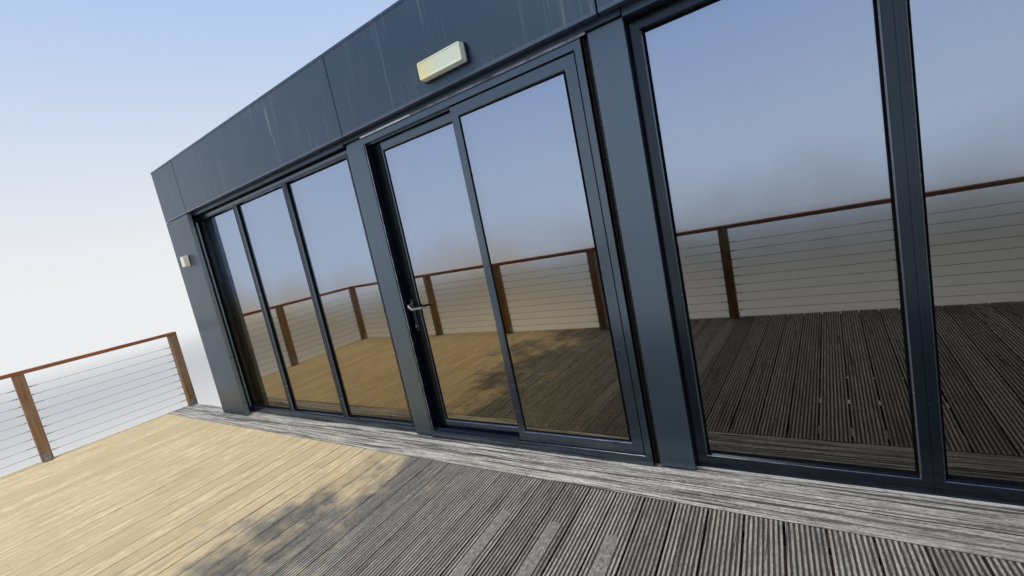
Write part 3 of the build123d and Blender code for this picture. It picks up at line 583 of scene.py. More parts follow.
def skin(bm, rings, closed=True, loop=False, caps=(0, -1)):
    """Faces from each ring of points to the next, and on the rings named in caps.

    closed rings join up with themselves, and loop joins the last ring to the first.
    """
    rings = [[bm.verts.new(p) for p in ring] for ring in rings]
    n = len(rings[0])
    for a, b in zip(rings, rings[1:] + (rings[:1] if loop else [])):
        for i in range(n if closed else n - 1):
            j = (i + 1) % n
            bm.faces.new((a[i], b[i], b[j], a[j]))
    for cap in caps:
        bm.faces.new(rings[cap])


def screw_head(bm, at, direction, radius):
    """A low countersunk head with a recess."""
    place = facing(at, direction)
    turns = [k * math.pi / 4 for k in range(8)]
    steps = ((radius, -0.0006), (radius * 0.92, 0.0004), (radius * 0.5, 0.0006), (radius * 0.38, -0.0008))
    skin(bm, [[place @ Vector((r * math.cos(a), r * math.sin(a), h)) for a in turns] for r, h in steps])


def mitred(bm, x0, x1, w0, w1, profile, upright=True):
    """A mitred ring round a rectangle in x and z, or in x and y if it isn't upright.

    Profile points are (inwards, place on the third axis).
    """
    rings = []
    for x, w, sx, sw in ((x0, w0, 1, 1), (x1, w0, -1, 1), (x1, w1, -1, -1), (x0, w1, 1, -1)):
        ring = [(x + sx * i, w + sw * i, t) for i, t in profile]
        rings.append([(px, t, pz) for px, pz, t in ring] if upright else ring)
    skin(bm, rings, loop=True, caps=())


def rounded_outline(half_x, half_z, radius):
    """Points round a rectangle with round corners, about its middle."""
    points = []
    mid_x, mid_z = half_x - radius, half_z - radius
    for sx, sz, start in ((1, 1, 0), (-1, 1, 90), (-1, -1, 180), (1, -1, 270)):
        for k in range(7):
            a = math.radians(start + k * 15)
            points.append((sx * mid_x + radius * math.cos(a), sz * mid_z + radius * math.sin(a)))
    return points


def rounded_path(corners, radius, steps=6):
    """Points along straight runs whose corners are arcs."""
    points = [corners[0]]
    for before, corner, after in zip(corners, corners[1:], corners[2:]):
        u = (before - corner).normalized()
        v = (after - corner).normalized()
        half = u.angle(v) / 2
        centre = corner + (u + v).normalized() * (radius / math.sin(half))
        a = corner + u * (radius / math.tan(half)) - centre
        b = corner + v * (radius / math.tan(half)) - centre
        turn = a.angle(b)
        for k in range(steps + 1):
            s = k / steps
            points.append(centre + (a * math.sin((1 - s) * turn) + b * math.sin(s * turn)) / math.sin(turn))
    points.append(corners[-1])
    return points


def sweep(bm, path, radii, sides):
    """A round bar along points, with its own radius (across, up) at each."""
    turns = [2 * math.pi * k / sides for k in range(sides)]
    rings = []
    for i, (p, (wide, tall)) in enumerate(zip(path, radii)):
        onward = (path[min(i + 1, len(path) - 1)] - path[max(i - 1, 0)]).normalized()
        side = onward.cross(Vector((0, 0, 1))).normalized()
        over = side.cross(onward)
        rings.append([p + side * (wide * math.cos(a)) + over * (tall * math.sin(a)) for a in turns])
    skin(bm, rings)


# ---- deck

def board_point(cx, u, y, z):
    """The point at u across a skewed board, where it crosses the line y."""
    t = (y - ORIGIN_Y - u * SIN) / COS
    return (cx + u * COS - t * SIN, y, z)


def deck_profile(grooves, half):
    """The way round a board: its top with arrises and grooves, from left to right, and its underside."""
    arris = ((0.0, -0.020), (0.0, -0.0035), (0.0012, -0.0012), (0.0035, 0.0))
    points = [(-half + u, h) for u, h in arris]
    for c in grooves:
        points += [(c - 0.0040, 0.0), (c - 0.0026, -0.0034), (c + 0.0026, -0.0034), (c + 0.0040, 0.0)]
    points += [(half - u, h) for u, h in reversed(arris)]
    return points + [(half, -0.028), (-half, -0.028)]


def grooved_boards():
    """The skewed boards, none quite like the next; returns the middle and drop of those with a strip."""
    bm = bmesh.new()
    strips = []
    for index in BOARDS:
        cx = PHASE + index * PITCH
        drop = RANDOM.uniform(0.0, 0.0009)
        cup = RANDOM.uniform(-0.0005, 0.0004)
        half = BOARD / 2 - RANDOM.uniform(0.0, 0.0016)
        runs = [(DECK_LOW.y, DECK_HIGH.y, GROOVES)]
        if index in STRIP_BOARDS:
            strips.append((cx, drop))
            beside = [g for g in GROOVES if abs(g) > STRIP_ROOM]
            runs = [(DECK_LOW.y, STRIP_START, beside), (STRIP_START, DECK_HIGH.y, GROOVES)]
        for start, end, grooves in runs:
            outline = deck_profile(grooves, half)
            steps = max(2, int((end - start) / BOARD_STEP) + 1)
            rings = []
            for k in range(steps + 1):
                y = start + (end - start) * k / steps
                wave = 0.0003 * math.sin(index * 2.1 + y * 3.3) - drop - 0.0004
                ring = []
                for u, h in outline:
                    lift = wave + cup * (1 - (2 * u / BOARD) ** 2) if h > -0.021 else 0.0
                    ring.append(board_point(cx, u, y, DECK_TOP + h + min(lift, 0.0)))
                rings.append(ring)
            skin(bm, rings)
    for side in (-1, 1):
        geom = [*bm.verts, *bm.edges, *bm.faces]
        end = (side * DECK_HIGH.x, 0, 0)
        cut = bmesh.ops.bisect_plane(bm, geom=geom, plane_co=end, plane_no=(side, 0, 0), clear_outer=True)
        rim = [e for e in cut["geom_cut"] if isinstance(e, bmesh.types.BMEdge)]
        bmesh.ops.holes_fill(bm, edges=rim, sides=0)
    add_piece("grooved_boards", outwards(bm), "deck_wood_mat", stands_for=("deck_boards",))
    return strips


def grit_strips(strips):
    """Gritty strips let into some boards, flush with their ridges and rounded off at the end."""
    bm = bmesh.new()
    start, end = DECK_LOW.y + 0.004, STRIP_START - 0.001
    lines = [(start + (end - 0.03 - start) * k / 12, 1.0) for k in range(13)]
    lines += [(end - 0.014, 0.93), (end - 0.004, 0.74), (end, 0.45)]
    for cx, drop in strips:
        rings = []
        for y, share in lines:
            half = 0.0265 * share
            left = [(-half, -0.0026), (-half + 0.0006, 0.0), (-half * 0.4, 0.0005)]
            profile = left + [(-u, h) for u, h in reversed(left)]
            rings.append([board_point(cx, u, y, DECK_TOP - drop + 0.0004 + h) for u, h in profile])
        skin(bm, rings, closed=False)
    add_piece("grip_strips", outwards(bm), "grit")


def border():
    """The two boards at the foot of the front, with worn arrises and two shallow grooves in the inner one."""
    bm = bmesh.new()
    steps = 30
    for low, high in islands("border_boards"):
        wide = high.y - low.y
        arris = ((0.0, -0.004), (0.0014, -0.0014), (0.004, 0.0))
        profile = [(low.y, -0.022)] + [(low.y + u, h) for u, h in arris]
        for y in (low.y + 0.016, low.y + 0.041) if wide > 0.16 else ():
            profile += [(y - 0.004, 0.0), (y - 0.002, -0.0028), (y + 0.002, -0.0028), (y + 0.004, 0.0)]
        profile += [(low.y + 0.05 + (wide - 0.06) * k / 4, -0.0004) for k in (1, 2, 3)]
        profile += [(high.y - u, h) for u, h in reversed(arris)] + [(high.y, -0.028), (low.y, -0.028)]
        rings = []
        for k in range(steps + 1):
            x = low.x + (high.x - low.x) * k / steps
            wave = 0.0005 * (math.sin(x * 2.3 + wide * 40) - 1)
            rings.append([(x, y, DECK_TOP + h + (wave if h > -0.02 else 0.0)) for y, h in profile])
        skin(bm, rings)
    add_piece("border_planks", outwards(bm), "border_wood", stands_for=("border_boards",))


def deck_screws():
    """Two screws where each board crosses a joist, and four rows in the border."""
    bm = bmesh.new()
    up, radius = (0, 0, 1), 0.0042
    for y in sorted({round((low.y + high.y) / 2, 4) for low, high in islands("deck_joists")}):
        if DECK_LOW.y + 0.02 < y < DECK_HIGH.y - 0.02:
            for index in BOARDS:
                for u in (-2.5 * GROOVE_PITCH, 2.5 * GROOVE_PITCH):
                    x = board_point(PHASE + index * PITCH, u, y, 0)[0]
                    if abs(x) < DECK_HIGH.x - 0.01:
                        at = (x, y + RANDOM.uniform(-0.006, 0.006), DECK_TOP - 0.0012)
                        screw_head(bm, at, up, radius)
    for k in range(25):
        for y in (BORDER_LOW.y + 0.03, BORDER_LOW.y + 0.115, BORDER_HIGH.y - 0.15, BORDER_HIGH.y - 0.115):
            x = -5.55 + k * 0.4625
            screw_head(bm, (x + RANDOM.uniform(-0.01, 0.01), y, DECK_TOP - 0.0010), up, radius)
    add_piece("deck_screws", outwards(bm), "galvanised")


def joist_tape():
    """Dark tape on top of the deck's timbers, seen in the gaps between the boards."""
    boxes = []
    for node in ("deck_joists", "bearers", "deck_front_rim", "deck_end_rims"):
        for low, high in islands(node):
            a = (low.x + 0.003, low.y + 0.003, high.z - 0.0010)
            boxes.append((a, (high.x - 0.003, high.y - 0.003, high.z + 0.0004)))
    add_boxes("joist_tape", boxes, "rubber")


# ---- openings

def glazing(name, material, shape, nodes, body="cabin", width=0.0):
    """One shape made for each pane of some nodes, from its seen opening, glass and frame."""
    bm = bmesh.new()
    for node in nodes:
        for low, high in islands(node):
            opening = (low.x + LAP, high.x - LAP, low.z + LAP, high.z - LAP)
            shape(bm, *opening, low.y, high.y, low.y - GLASS_DEPTH[node])
    if width:
        round_edges(bm, width)
    add_piece(name, outwards(bm), material, body)


def bead_skin(near, front, start, end, lift):
    """The section (inwards, y) of a layer on the sloped bead, over a share of its way to the glass."""
    deep = near - front
    slant = math.hypot(deep, LAP)
    points = ((start, 0.0), (start, lift), (end, lift), (end, 0.0))
    return [(LAP * (s - 1) + up * deep / slant, front + deep * s - up * LAP / slant) for s, up in points]


def gasket(bm, x0, x1, z0, z1, near, far, front):
    """The rubber on both sides of the glass, and a dark layer over the rear half of the bead in front of it:
    painted dark reflection.
    """
    e = 0.0012
    seat = [(-e, near - 0.0002), (-e, near - 0.0055), (e, near - 0.0068), (0.0045, near - 0.0050)]
    seat.append((0.0062, near - 0.0002))
    back = [(-e, far + 0.0002), (0.0062, far + 0.0002), (0.0045, far + 0.0048), (-e, far + 0.0055)]
    for profile in (seat, back, bead_skin(near, front, 0.55, 0.94, 0.0010)):
        mitred(bm, x0, x1, z0, z1, profile)


def spacer_bar(bm, x0, x1, z0, z1, near, far, front):
    """The dark bar between the two sheets, seen at the edge of the pane."""
    a, b, out = near + 0.006, far - 0.006, 0.006
    profile = [(0.0, a), (0.009, a), (0.0098, (a + b) / 2), (0.009, b), (0.0, b)]
    mitred(bm, x0 - out, x1 + out, z0 - out, z1 + out, profile)


def bead_highlight(bm, x0, x1, z0, z1, near, far, front):
    """A light layer on the front half of the sloped beads at the sides of a window pane: painted highlight.
    """
    profile = bead_skin(near, front, 0.04, 0.50, 0.0008)
    for x, side in ((x0, 1), (x1, -1)):
        skin(bm, [[(x + side * i, y, z) for i, y in profile] for z in (z0 - 0.004, z1 + 0.004)])


def sash_step(bm, x0, x1, z0, z1, near, far, front):
    """The slim step where a fixed light's inner frame meets the outer one."""
    out, foot, y = 0.027, front + 0.0005, front - 0.0024
    profile = [(0.0, foot), (0.0, y + 0.0006), (0.0008, y), (0.0142, y), (0.0152, y + 0.0008), (0.0152, foot)]
    mitred(bm, x0 - out, x1 + out, z0 - out, z1 + out, profile)


def sill_highlight(bm, x0, x1, z0, z1, near, far, front):
    """A slim bright strip below a pane: painted highlight on its arris."""
    put_box(bm, (x0 - 0.009, front - 0.0008, z0 - 0.0122), (x1 + 0.009, front + 0.0012, z0 - 0.0098))


def door_trims():
    """The seals and lines round the door, its jamb bead in bright metal as a painted highlight, its sill
    strip and a black strip on the lock stile as painted shade.
    """
    low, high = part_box("fixed_leaf")
    left, right, near, top = DOOR_LOW.x, DOOR_HIGH.x, DOOR_LOW.y, DOOR_HIGH.z
    edge, front, back, end = 0.0075, low.y - 0.0060, low.y + 0.0005, 0.0002
    seals = [
        ((high.x - edge, front, low.z + 0.001), (high.x - end, back, high.z - end)),
        ((low.x + 0.002, front, high.z - edge), (high.x - edge, back, high.z - end)),
        ((right - 0.0003, near + 0.0010, DOOR_LOW.z + 0.002), (right + 0.0012, near + 0.040, top - 0.002)),
    ]
    add_boxes("door_seals", seals, "rubber", 0.0004)
    jamb = left + 0.0325
    lines = [
        ((jamb - 0.0160, near - 0.0007, low.z), (jamb - 0.0085, near + 0.001, high.z)),
        ((left + 0.002, near - 0.0007, top - 0.0135), (right - 0.002, near + 0.001, top - 0.0090)),
    ]
    add_boxes("frame_lines", lines, "rubber", 0.0003)
    # The jamb bead in bright metal: painted highlight.
    bead = ((jamb - 0.0065, near - 0.0012, low.z + 0.002), (jamb + 0.0002, near + 0.002, high.z))
    add_boxes("jamb_bead", [bead], "worn_edge", 0.0006, 2)
    sill = DOOR_LOW.z + 0.065
    nose = ((-0.0005, -0.0146), (0.0066, 0.0005), (0.0070, -0.0002), (0.0003, -0.0138))
    bm = bmesh.new()
    skin(bm, [[(x, near + y, sill + z) for y, z in nose] for x in (left + 0.033, right - 0.038)])
    add_piece("sill_nose_strip", outwards(bm), "rubber")
    low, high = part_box("sliding_leaf")
    # A black strip over the sliding leaf's lock stile: painted shade.
    stile = ((low.x + 0.001, low.y - 0.0008, low.z + 0.003), (low.x + 0.0885, low.y + 0.0003, high.z - 0.003))
    add_boxes("lock_stile_shade_strip", [stile], "lock_stile_shade", 0.0003, body="door_leaf")


def perimeter_seals():
    """The dark sealant line round each window frame."""
    rim, line = 0.0005, 0.0095
    boxes = []
    for node in ("left_window_frame", "right_window_frame"):
        low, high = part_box(node)
        foot, top = low.z + 0.004, high.z - line
        left, right = low.x + rim, high.x - rim
        for x0, x1, z0, z1 in (
            (left, low.x + line, foot, top),
            (high.x - line, right, foot, top),
            (left, right, top, high.z - rim),
        ):
            boxes.append(((x0, low.y - 0.0022, z0), (x1, low.y + 0.0005, z1)))
    add_boxes("perimeter_seals", boxes, "rubber", 0.0008)


def head_trims():
    """The drip strips on the door frame's head in bright metal, a painted highlight brightest on the left,
    and the side bands' edges.
    """
    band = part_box("head_bands")[0].y
    near, top = DOOR_LOW.y, DOOR_HIGH.z
    start, split, end = DOOR_LOW.x + 0.002, DOOR_LOW.x + 0.52, DOOR_HIGH.x + 0.034
    for name, x0, x1, coat in (
        ("door_head_drip_left", start, split, "highlight_line"),
        ("door_head_drip", split, end, "worn_edge"),
    ):
        boxes = [
            ((x0, band + 0.0015, top + 0.0002), (x1, near + 0.002, top + 0.0036)),
            ((x0, near - 0.0024, top - 0.0052), (x1, near - 0.0002, top + 0.0026)),
        ]
        add_boxes(name, boxes, coat, 0.0006, 2)
    boxes = []
    for low, high in islands("head_bands"):
        foot = (0.0022, low.z + 0.0005, low.z + 0.012)
        for out, z0, z1 in (foot, (0.0016, high.z - 0.062, high.z - 0.059)):
            boxes.append(((low.x + 0.003, low.y - out, z0), (high.x - 0.003, low.y + 0.0005, z1)))
    add_boxes("band_edges", boxes, "band_coat", 0.0006, 2)


def brush_seals():
    """Brush pile in the slot beside the door."""
    low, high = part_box("door_side_filler")
    bm = bmesh.new()
    for x0, x1 in ((low.x + 0.004, low.x + 0.013), (high.x - 0.013, high.x - 0.004)):
        z = low.z + 0.01
        rings = []
        while z < high.z - 0.01:
            y = low.y - (0.010 + RANDOM.uniform(0, 0.006))
            rings.append([(x0, low.y, z), (x0 + 0.001, y, z), (x1 - 0.001, y, z), (x1, low.y, z)])
            z += 0.009
        skin(bm, rings, closed=False, caps=())
    add_piece("side_brush", outwards(bm), "brush")


def lever_handle():
    """A slim plate, a bent lever and a lock cylinder."""
    low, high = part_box("door_handle")
    face = high.y
    mid_x = low.x + 0.017
    level = high.z - 0.0415
    middle = level - 0.0835
    half_x, half_z = 0.017, 0.125
    rings = []
    for inset, out in ((0.0, 0.0), (0.0, 0.0055), (0.0008, 0.0072), (0.0026, 0.008)):
        in_x, in_z = 1 - inset / half_x, 1 - inset / half_z
        outline = rounded_outline(half_x, half_z, 0.013)
        rings.append([(mid_x + x * in_x, face - out, middle + z * in_z) for x, z in outline])
    bm = bmesh.new()
    skin(bm, rings)
    add_piece("handle_plate", outwards(bm), "plate_coat", "door_leaf", smooth=True)

    bm = bmesh.new()
    tube(bm, (mid_x, face - 0.0078, level), (mid_x, face - 0.0130, level), 0.0150, 28)
    tip = face - 0.052
    corners = ((mid_x, face - 0.010, level), (mid_x, tip, level), (mid_x + 0.036, tip, level - 0.030))
    *path, end = rounded_path([Vector(p) for p in (*corners, (high.x - 0.0035, tip, level - 0.0252))], 0.014)
    radii = [(0.0092, 0.0092)] * (len(path) - 6) + [(0.0084, 0.0092)] * 6
    radii += [(0.0080, 0.0090), (0.0074, 0.0084), (0.0050, 0.0060)]
    sweep(bm, path + [end.lerp(path[-1], 0.06), end, end + Vector((0.0032, 0, 0))], radii, 18)
    barrel = level - 0.167
    tube(bm, (mid_x, face - 0.0078, barrel), (mid_x, face - 0.0146, barrel), 0.0088, 24)
    stands_for = ("door_handle",)
    add_piece("lever", outwards(bm), "lever_metal", "door_leaf", stands_for, smooth=True)

    key_x, key_z = 0.0010, 0.0052
    slot = ((mid_x - key_x, face - 0.0149, barrel - key_z), (mid_x + key_x, face - 0.0144, barrel + key_z))
    add_boxes("key_slot", [slot], "plate_coat", 0.0002, 2, "door_leaf")


# ---- lights, rails, roof

def bulkhead():
    """The light over the door: a moulded cover with a lip and soft corners, its base and two screws."""
    low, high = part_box("bulkhead_light_cover")
    middle, half = (low + high) / 2, (high - low) / 2
    rings = []
    for inset, share, radius in (
        (0.0, 0.0, 0.010), (0.0014, 0.93, 0.010), (0.0024, 0.985, 0.010), (0.0044, 1.0, 0.009),
        (0.0085, 1.0, 0.006), (0.0100, 0.975, 0.005), (0.0130, 0.970, 0.004),
    ):
        y = high.y + (low.y - high.y) * share
        outline = rounded_outline(half.x - inset, half.z - inset, radius)
        rings.append([(middle.x + x, y, middle.z + z) for x, z in outline])
    bm = bmesh.new()
    skin(bm, rings, caps=(-1,))
    add_piece(
        "bulkhead_cover", outwards(bm), "bulkhead_cover_mat",
        stands_for=("bulkhead_light_cover",), smooth=True,
    )
    soften("bulkhead_light_base", "bulkhead_base", "plate_coat", "light_base", 0.002)
    low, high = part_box("bulkhead_light_base")
    bm = bmesh.new()
    for x in (low.x + 0.0075, high.x - 0.0075):
        tube(bm, (x, low.y, middle.z), (x, low.y - 0.003, middle.z), 0.0045, 14)
    add_piece("bulkhead_screws", bm, "wire_steel_mat")


def column_lamps():
    """Small box lamps with a sloped top and a slim joint."""
    bm = bmesh.new()
    seals = []
    slope, inset = 0.012, 0.003
    for low, high in islands("column_lights"):
        for v in put_box(bm, low, (high.x, high.y - 0.004, high.z)):
            if v.co.y < low.y + 0.001 and v.co.z > high.z - 0.001:
                v.co.z -= slope
        near = (low.x + inset, high.y - 0.0045, low.z + inset)
        seals.append((near, (high.x - inset, high.y, high.z - inset)))
    round_edges(bm, 0.003, 3)
    add_piece("column_lamp_boxes", bm, "lamp_white", stands_for=("column_lights",))
    add_boxes("column_lamp_seals", seals, "rubber", 0.0008, 2)


def round_wires():
    """Round wires with swaged ends and a nut at each post."""
    nodes = ("front_rail_wires", "left_rail_wires", "right_rail_wires")
    wires, ends = bmesh.new(), bmesh.new()
    for node in nodes:
        for low, high in islands(node):
            size, centre = high - low, (low + high) / 2
            along = Vector((1, 0, 0)) if size.x > size.y else Vector((0, 1, 0))
            reach = along * (max(size.x, size.y) / 2)
            tube(wires, centre - reach, centre + reach, 0.0022, 8, False)
            for p, d in ((centre - reach, along), (centre + reach, -along)):
                tube(ends, p + d * 0.003, p + d * 0.075, 0.0045, 10)
                tube(ends, p + d * 0.014, p + d * 0.024, 0.0072, 6)
                tube(ends, p, p + d * 0.003, 0.0105, 14)
    add_piece("rail_wires", wires, "wire_steel_mat", stands_for=nodes, smooth=True)
    add_piece("wire_ends", ends, "wire_steel_mat")


def post_shoes():
    """Angles with bolts that hold each balustrade post to the deck."""
    bm, bolts = bmesh.new(), bmesh.new()
    thick, reach, rise, half = 0.0035, 0.050, 0.085, 0.030
    for low, high in islands("rail_posts"):
        cy = (low.y + high.y) / 2
        for side, x in ((-1, low.x), (1, high.x)):
            if abs(x + side * reach) > DECK_HIGH.x:
                continue
            for wide, tall in ((thick, rise), (reach, thick)):
                put_box(bm, (x, cy - half, DECK_TOP), (x + side * wide, cy + half, DECK_TOP + tall))
            hex_bolt(bolts, (x + side * thick, cy, DECK_TOP + 0.055), (side, 0, 0), 0.011, 0.007)
            hex_bolt(bolts, (x + side * 0.030, cy, DECK_TOP + thick), (0, 0, 1), 0.011, 0.007)
    round_edges(bm, 0.0008)
    add_piece("post_shoes", bm, "galvanised")
    add_piece("post_shoe_bolts", bolts, "galvanised")


def frame_bolts():
    """Bolts at both ends of each knee brace and at the head of each post."""
    bm = bmesh.new()
    turn = -2  # braces on either side of this y lean opposite ways
    for low, high in islands("knee_braces"):
        foot, head = (low.y, high.y) if (low.y + high.y) / 2 < turn else (high.y, low.y)
        lean = math.copysign(1, head - foot)
        for y, z in ((foot + lean * 0.03, low.z + 0.085), (head - lean * 0.09, high.z - 0.035)):
            for x, side in ((high.x, 1), (low.x, -1)):
                hex_bolt(bm, (x, y, z), (side, 0, 0), 0.017, 0.010)
    for node in ("deck_posts", "cabin_posts"):
        for low, high in islands(node):
            for down in (0.06, 0.13):
                hex_bolt(bm, (high.x, (low.y + high.y) / 2, high.z - down), (1, 0, 0), 0.019, 0.011)
    add_piece("frame_bolts", bm, "galvanised")


def rim_screws():
    """Screws along the front rim, and where each joist ends at the end rims."""
    bm = bmesh.new()
    radius, proud = 0.006, 0.0002
    low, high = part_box("deck_front_rim")
    x = low.x + 0.12
    while x < high.x - 0.1:
        for z in (low.z + 0.04, high.z - 0.04):
            screw_head(bm, (x, low.y + RIM_INSET - proud, z), (0, -1, 0), radius)
        x += 0.46
    joists = islands("deck_joists")
    for low, high in islands("deck_end_rims"):
        side = -1 if low.x < 0 else 1
        x = side * (DECK_HIGH.x - RIM_INSET + proud)
        for joist_low, joist_high in joists:
            for z in (low.z + 0.045, high.z - 0.04):
                screw_head(bm, (x, (joist_low.y + joist_high.y) / 2, z), (side, 0, 0), radius)
    add_piece("rim_screws", outwards(bm), "galvanised")


def roof_seams():
    """Welded laps of the roofing sheet and its upstand along the kerbs."""
    low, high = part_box("roof")
    edge, sheets = 0.110, 7
    reach, near, far, top = high.x - edge, low.y + edge, high.y - edge, high.z
    bm = bmesh.new()
    for i in range(1, sheets):
        x = -reach + 2 * reach * i / sheets
        put_box(bm, (x - 0.045, near, top), (x + 0.045, far, top + 0.004))
    round_edges(bm, 0.0015)
    upstand = [(0.0, 0.0), (0.0, 0.17), (0.003, 0.172), (0.006, 0.17), (0.006, 0.03), (0.03, 0.006)]
    upstand += [(0.05, 0.003), (0.05, 0.0)]
    mitred(bm, -reach, reach, near, far, [(i, top + z) for i, z in upstand], upright=False)
    add_piece("roof_seams", outwards(bm), "roof")


def fascia_lips():
    """The slim folded lips along the top of all fascias and along the foot of the front one; the foot ones
    are lighter, a painted highlight.
    """
    side_gap, drop, gap = 0.001, 0.018, 0.0002
    feet, tops = [], []
    for low, high in islands("front_fascia"):
        x0, x1 = low.x + side_gap, high.x - side_gap
        feet.append(((x0, low.y - 0.0012, low.z + 0.0004), (x1, low.y + 0.0005, low.z + 0.0165)))
        tops.append((x0, x1, low.y - 0.0028, low.y + 0.001, high.z))
    for low, high in islands("side_fascias"):
        x, side = (low.x, -1) if low.x < 0 else (high.x, 1)
        tops.append((x, x + side * 0.0028, low.y + side_gap, high.y - side_gap, high.z))
    for low, high in islands("rear_fascia"):
        tops.append((low.x + side_gap, high.x - side_gap, high.y - 0.001, high.y, high.z))
    boxes = [((x0, y0, z - drop), (x1, y1, z - gap)) for x0, x1, y0, y1, z in tops]
    add_boxes("fascia_lip", boxes, "panel", 0.0007)
    add_boxes("fascia_foot", feet, "fascia_foot_highlight", 0.0005)


def column_returns():
    """The folded inner edge of each corner panel in a lighter coat, a painted highlight, and its primed back
    beside the window.
    """
    edges, backs = [], []
    for low, high in islands("corner_columns"):
        side, inner = (1, high.x) if low.x < 0 else (-1, low.x)
        foot, top, lap = low.z + 0.001, high.z - 0.001, 0.0002
        edges.append(((inner - side * lap, low.y + 0.0005, foot), (inner + side * 0.0010, high.y, top)))
        end = inner - side * 0.158
        backs.append(((inner - side * 0.001, high.y - lap, foot), (end, high.y + 0.0012, top)))
    add_boxes("column_returns", edges, "return_highlight_coat", 0.0003)
    add_boxes("column_backs", backs, "panel_primer", 0.0003)


# ---- stage

def make_stage():
    """A pale floor that fades out far off, a pale sky that glass and metal show too, and one soft lamp."""
    half = 60.0
    mesh = bpy.data.meshes.new("floor")
    corners = [(-half, -half, 0), (half, -half, 0), (half, half, 0), (-half, half, 0)]
    mesh.from_pydata(corners, [], [(0, 1, 2, 3)])
    floor = new_object("floor", mesh)
    floor.location.z = -0.0005
    m = Mat("stage_floor", Roughness=0.9)
    m.color(m.mix(m.noise(m.coords, 0.3, 2), (0.74, 0.74, 0.73), (0.77, 0.77, 0.76)))
    reach = m.node("ShaderNodeVectorMath", {0: m.coords}, operation="LENGTH").outputs["Value"]
    m.tree.links.new(m.smooth(reach, 45.0, 12.0), m.shader.inputs["Alpha"])
    mesh.materials.append(MATERIALS["stage_floor"])

    world = bpy.data.worlds.new("studio")
    bpy.context.scene.world = world
    world.use_nodes = True
    w = Nodes(world.node_tree, "Generated")
    sky = w.tint((0.85, 0.86, 0.87), (0.40, 0.55, 0.84), w.axis(2), 0.0, 0.6)
    rays = w.node("ShaderNodeLightPath").outputs
    seen = w.most(rays["Is Camera Ray"], rays["Is Glossy Ray"], rays["Is Transmission Ray"])
    background = w.tree.nodes["Background"].inputs["Color"]
    w.tree.links.new(w.mix(seen, (0.60, 0.62, 0.66), sky), background)

    at, aim = Vector((-3.0, -4.5, 14.0)), Vector((-1.0, -2.0, 1.2))
    data = bpy.data.lights.new("key", "AREA")
    data.shape = "SQUARE"
    data.size = 6.0
    data.energy = 1500
    data.color = (1.0, 0.96, 0.90)
    lamp = new_object("key", data)
    lamp.location = at
    lamp.rotation_euler = (aim - at).to_track_quat("-Z", "Y").to_euler()


# ---- build

make_camera()
make_stage()
bpy.context.scene.view_settings.view_transform = "Standard"

DRIPS = (  # x, low and high end, width, strength
    (-1.845, 3.83, 4.05, 0.009, 0.34),
    (-1.825, 3.56, 3.84, 0.006, 0.14),
    (-0.425, 3.56, 4.12, 0.004, 0.16),
    (-1.36, 3.56, 3.74, 0.005, 0.18),
    (-1.13, 3.56, 3.80, 0.004, 0.14),
)
RAIL_WOOD = lin(168, 104, 62), lin(112, 62, 36), lin(142, 98, 68)
FRAME_WOOD = lin(158, 142, 108), lin(118, 102, 74), lin(136, 128, 106)

panel_material("panel")
panel_material("panel_fascia", DRIPS, 2.0)
panel_material("panel_plain", (), 0.25, 2.4)
panel_material("panel_corner", (), 0.25, 1.9)
panel_material("band_coat", (), 0.4)
frame_material("frame_coat", lin(7, 12, 25), lin(12, 19, 35), ior=2.3)
frame_material("frame_coat_shaded", lin(5, 10, 22), lin(10, 16, 31), 0.18, ior=1.6)
# Light coat for the beads' painted highlight.
frame_material("bead_coat", lin(70, 78, 88), lin(98, 106, 114), 0.2, 0.05, 2.1)
# Near-black coat for the lock stile's painted shade.
frame_material("lock_stile_shade", lin(4, 6, 10), lin(9, 11, 17), 0.14, 0.02, 1.2)
# Lighter coat for the front fascia's foot: painted highlight.
frame_material("fascia_foot_highlight", lin(48, 57, 72), lin(66, 76, 92))
# Light coat for the corner panels' returns: painted highlight.
frame_material("return_highlight_coat", lin(98, 104, 106), lin(120, 125, 126), 0.25, ior=2.1)
frame_material("spacer_bar", lin(20, 20, 21), lin(30, 30, 31), 0.5, 0.08, 1.5)
frame_material("plate_coat", lin(20, 22, 27), lin(30, 33, 40), 0.35, 0.08, 1.5)
plaster_material("panel_primer", lin(188, 190, 178), lin(204, 204, 190))
plaster_material("pier_coat", lin(150, 152, 140), lin(170, 170, 158))
plaster_material("wall_lining", lin(196, 193, 186), lin(206, 204, 198))
glass_material("window_glass_mat", lin(174, 190, 216), lin(164, 152, 130), lin(122, 121, 116), 0.78)
# Bright metal for painted highlights on the sill strips, the jamb bead and the head drip.
metal_material("worn_edge", lin(96, 104, 116), lin(168, 176, 188), 0.28)
# Near-white metal for the head drip's painted highlight.
metal_material("highlight_line", lin(206, 210, 216), lin(240, 242, 245), 0.35)
metal_material("wire_steel_mat", lin(122, 124, 126), lin(176, 178, 180), 0.30)
metal_material("galvanised", lin(120, 124, 126), lin(165, 168, 168), 0.42)
metal_material("lever_metal", lin(118, 119, 120), lin(158, 158, 156), 0.3)
white_material("bulkhead_cover_mat", lin(206, 218, 204), lin(222, 216, 158), one_sided=True)
white_material("lamp_white", lin(240, 238, 230), lin(222, 219, 206))
wood_material("rail_wood_x", "x", *RAIL_WOOD)
wood_material("rail_wood_y", "y", *RAIL_WOOD)
wood_material("post_wood", "z", lin(160, 118, 82), lin(110, 76, 50), lin(140, 120, 98))
for along in "xyz":
    wood_material("frame_wood_" + along, along, *FRAME_WOOD)
deck_material("deck_wood_mat")
border_material("border_wood")
grit_material("grit")
rubber_material("rubber")
brush_material("brush")
filler_material("slot_filler")
roof_material("roof")
floor_plank_material("floor_planks")

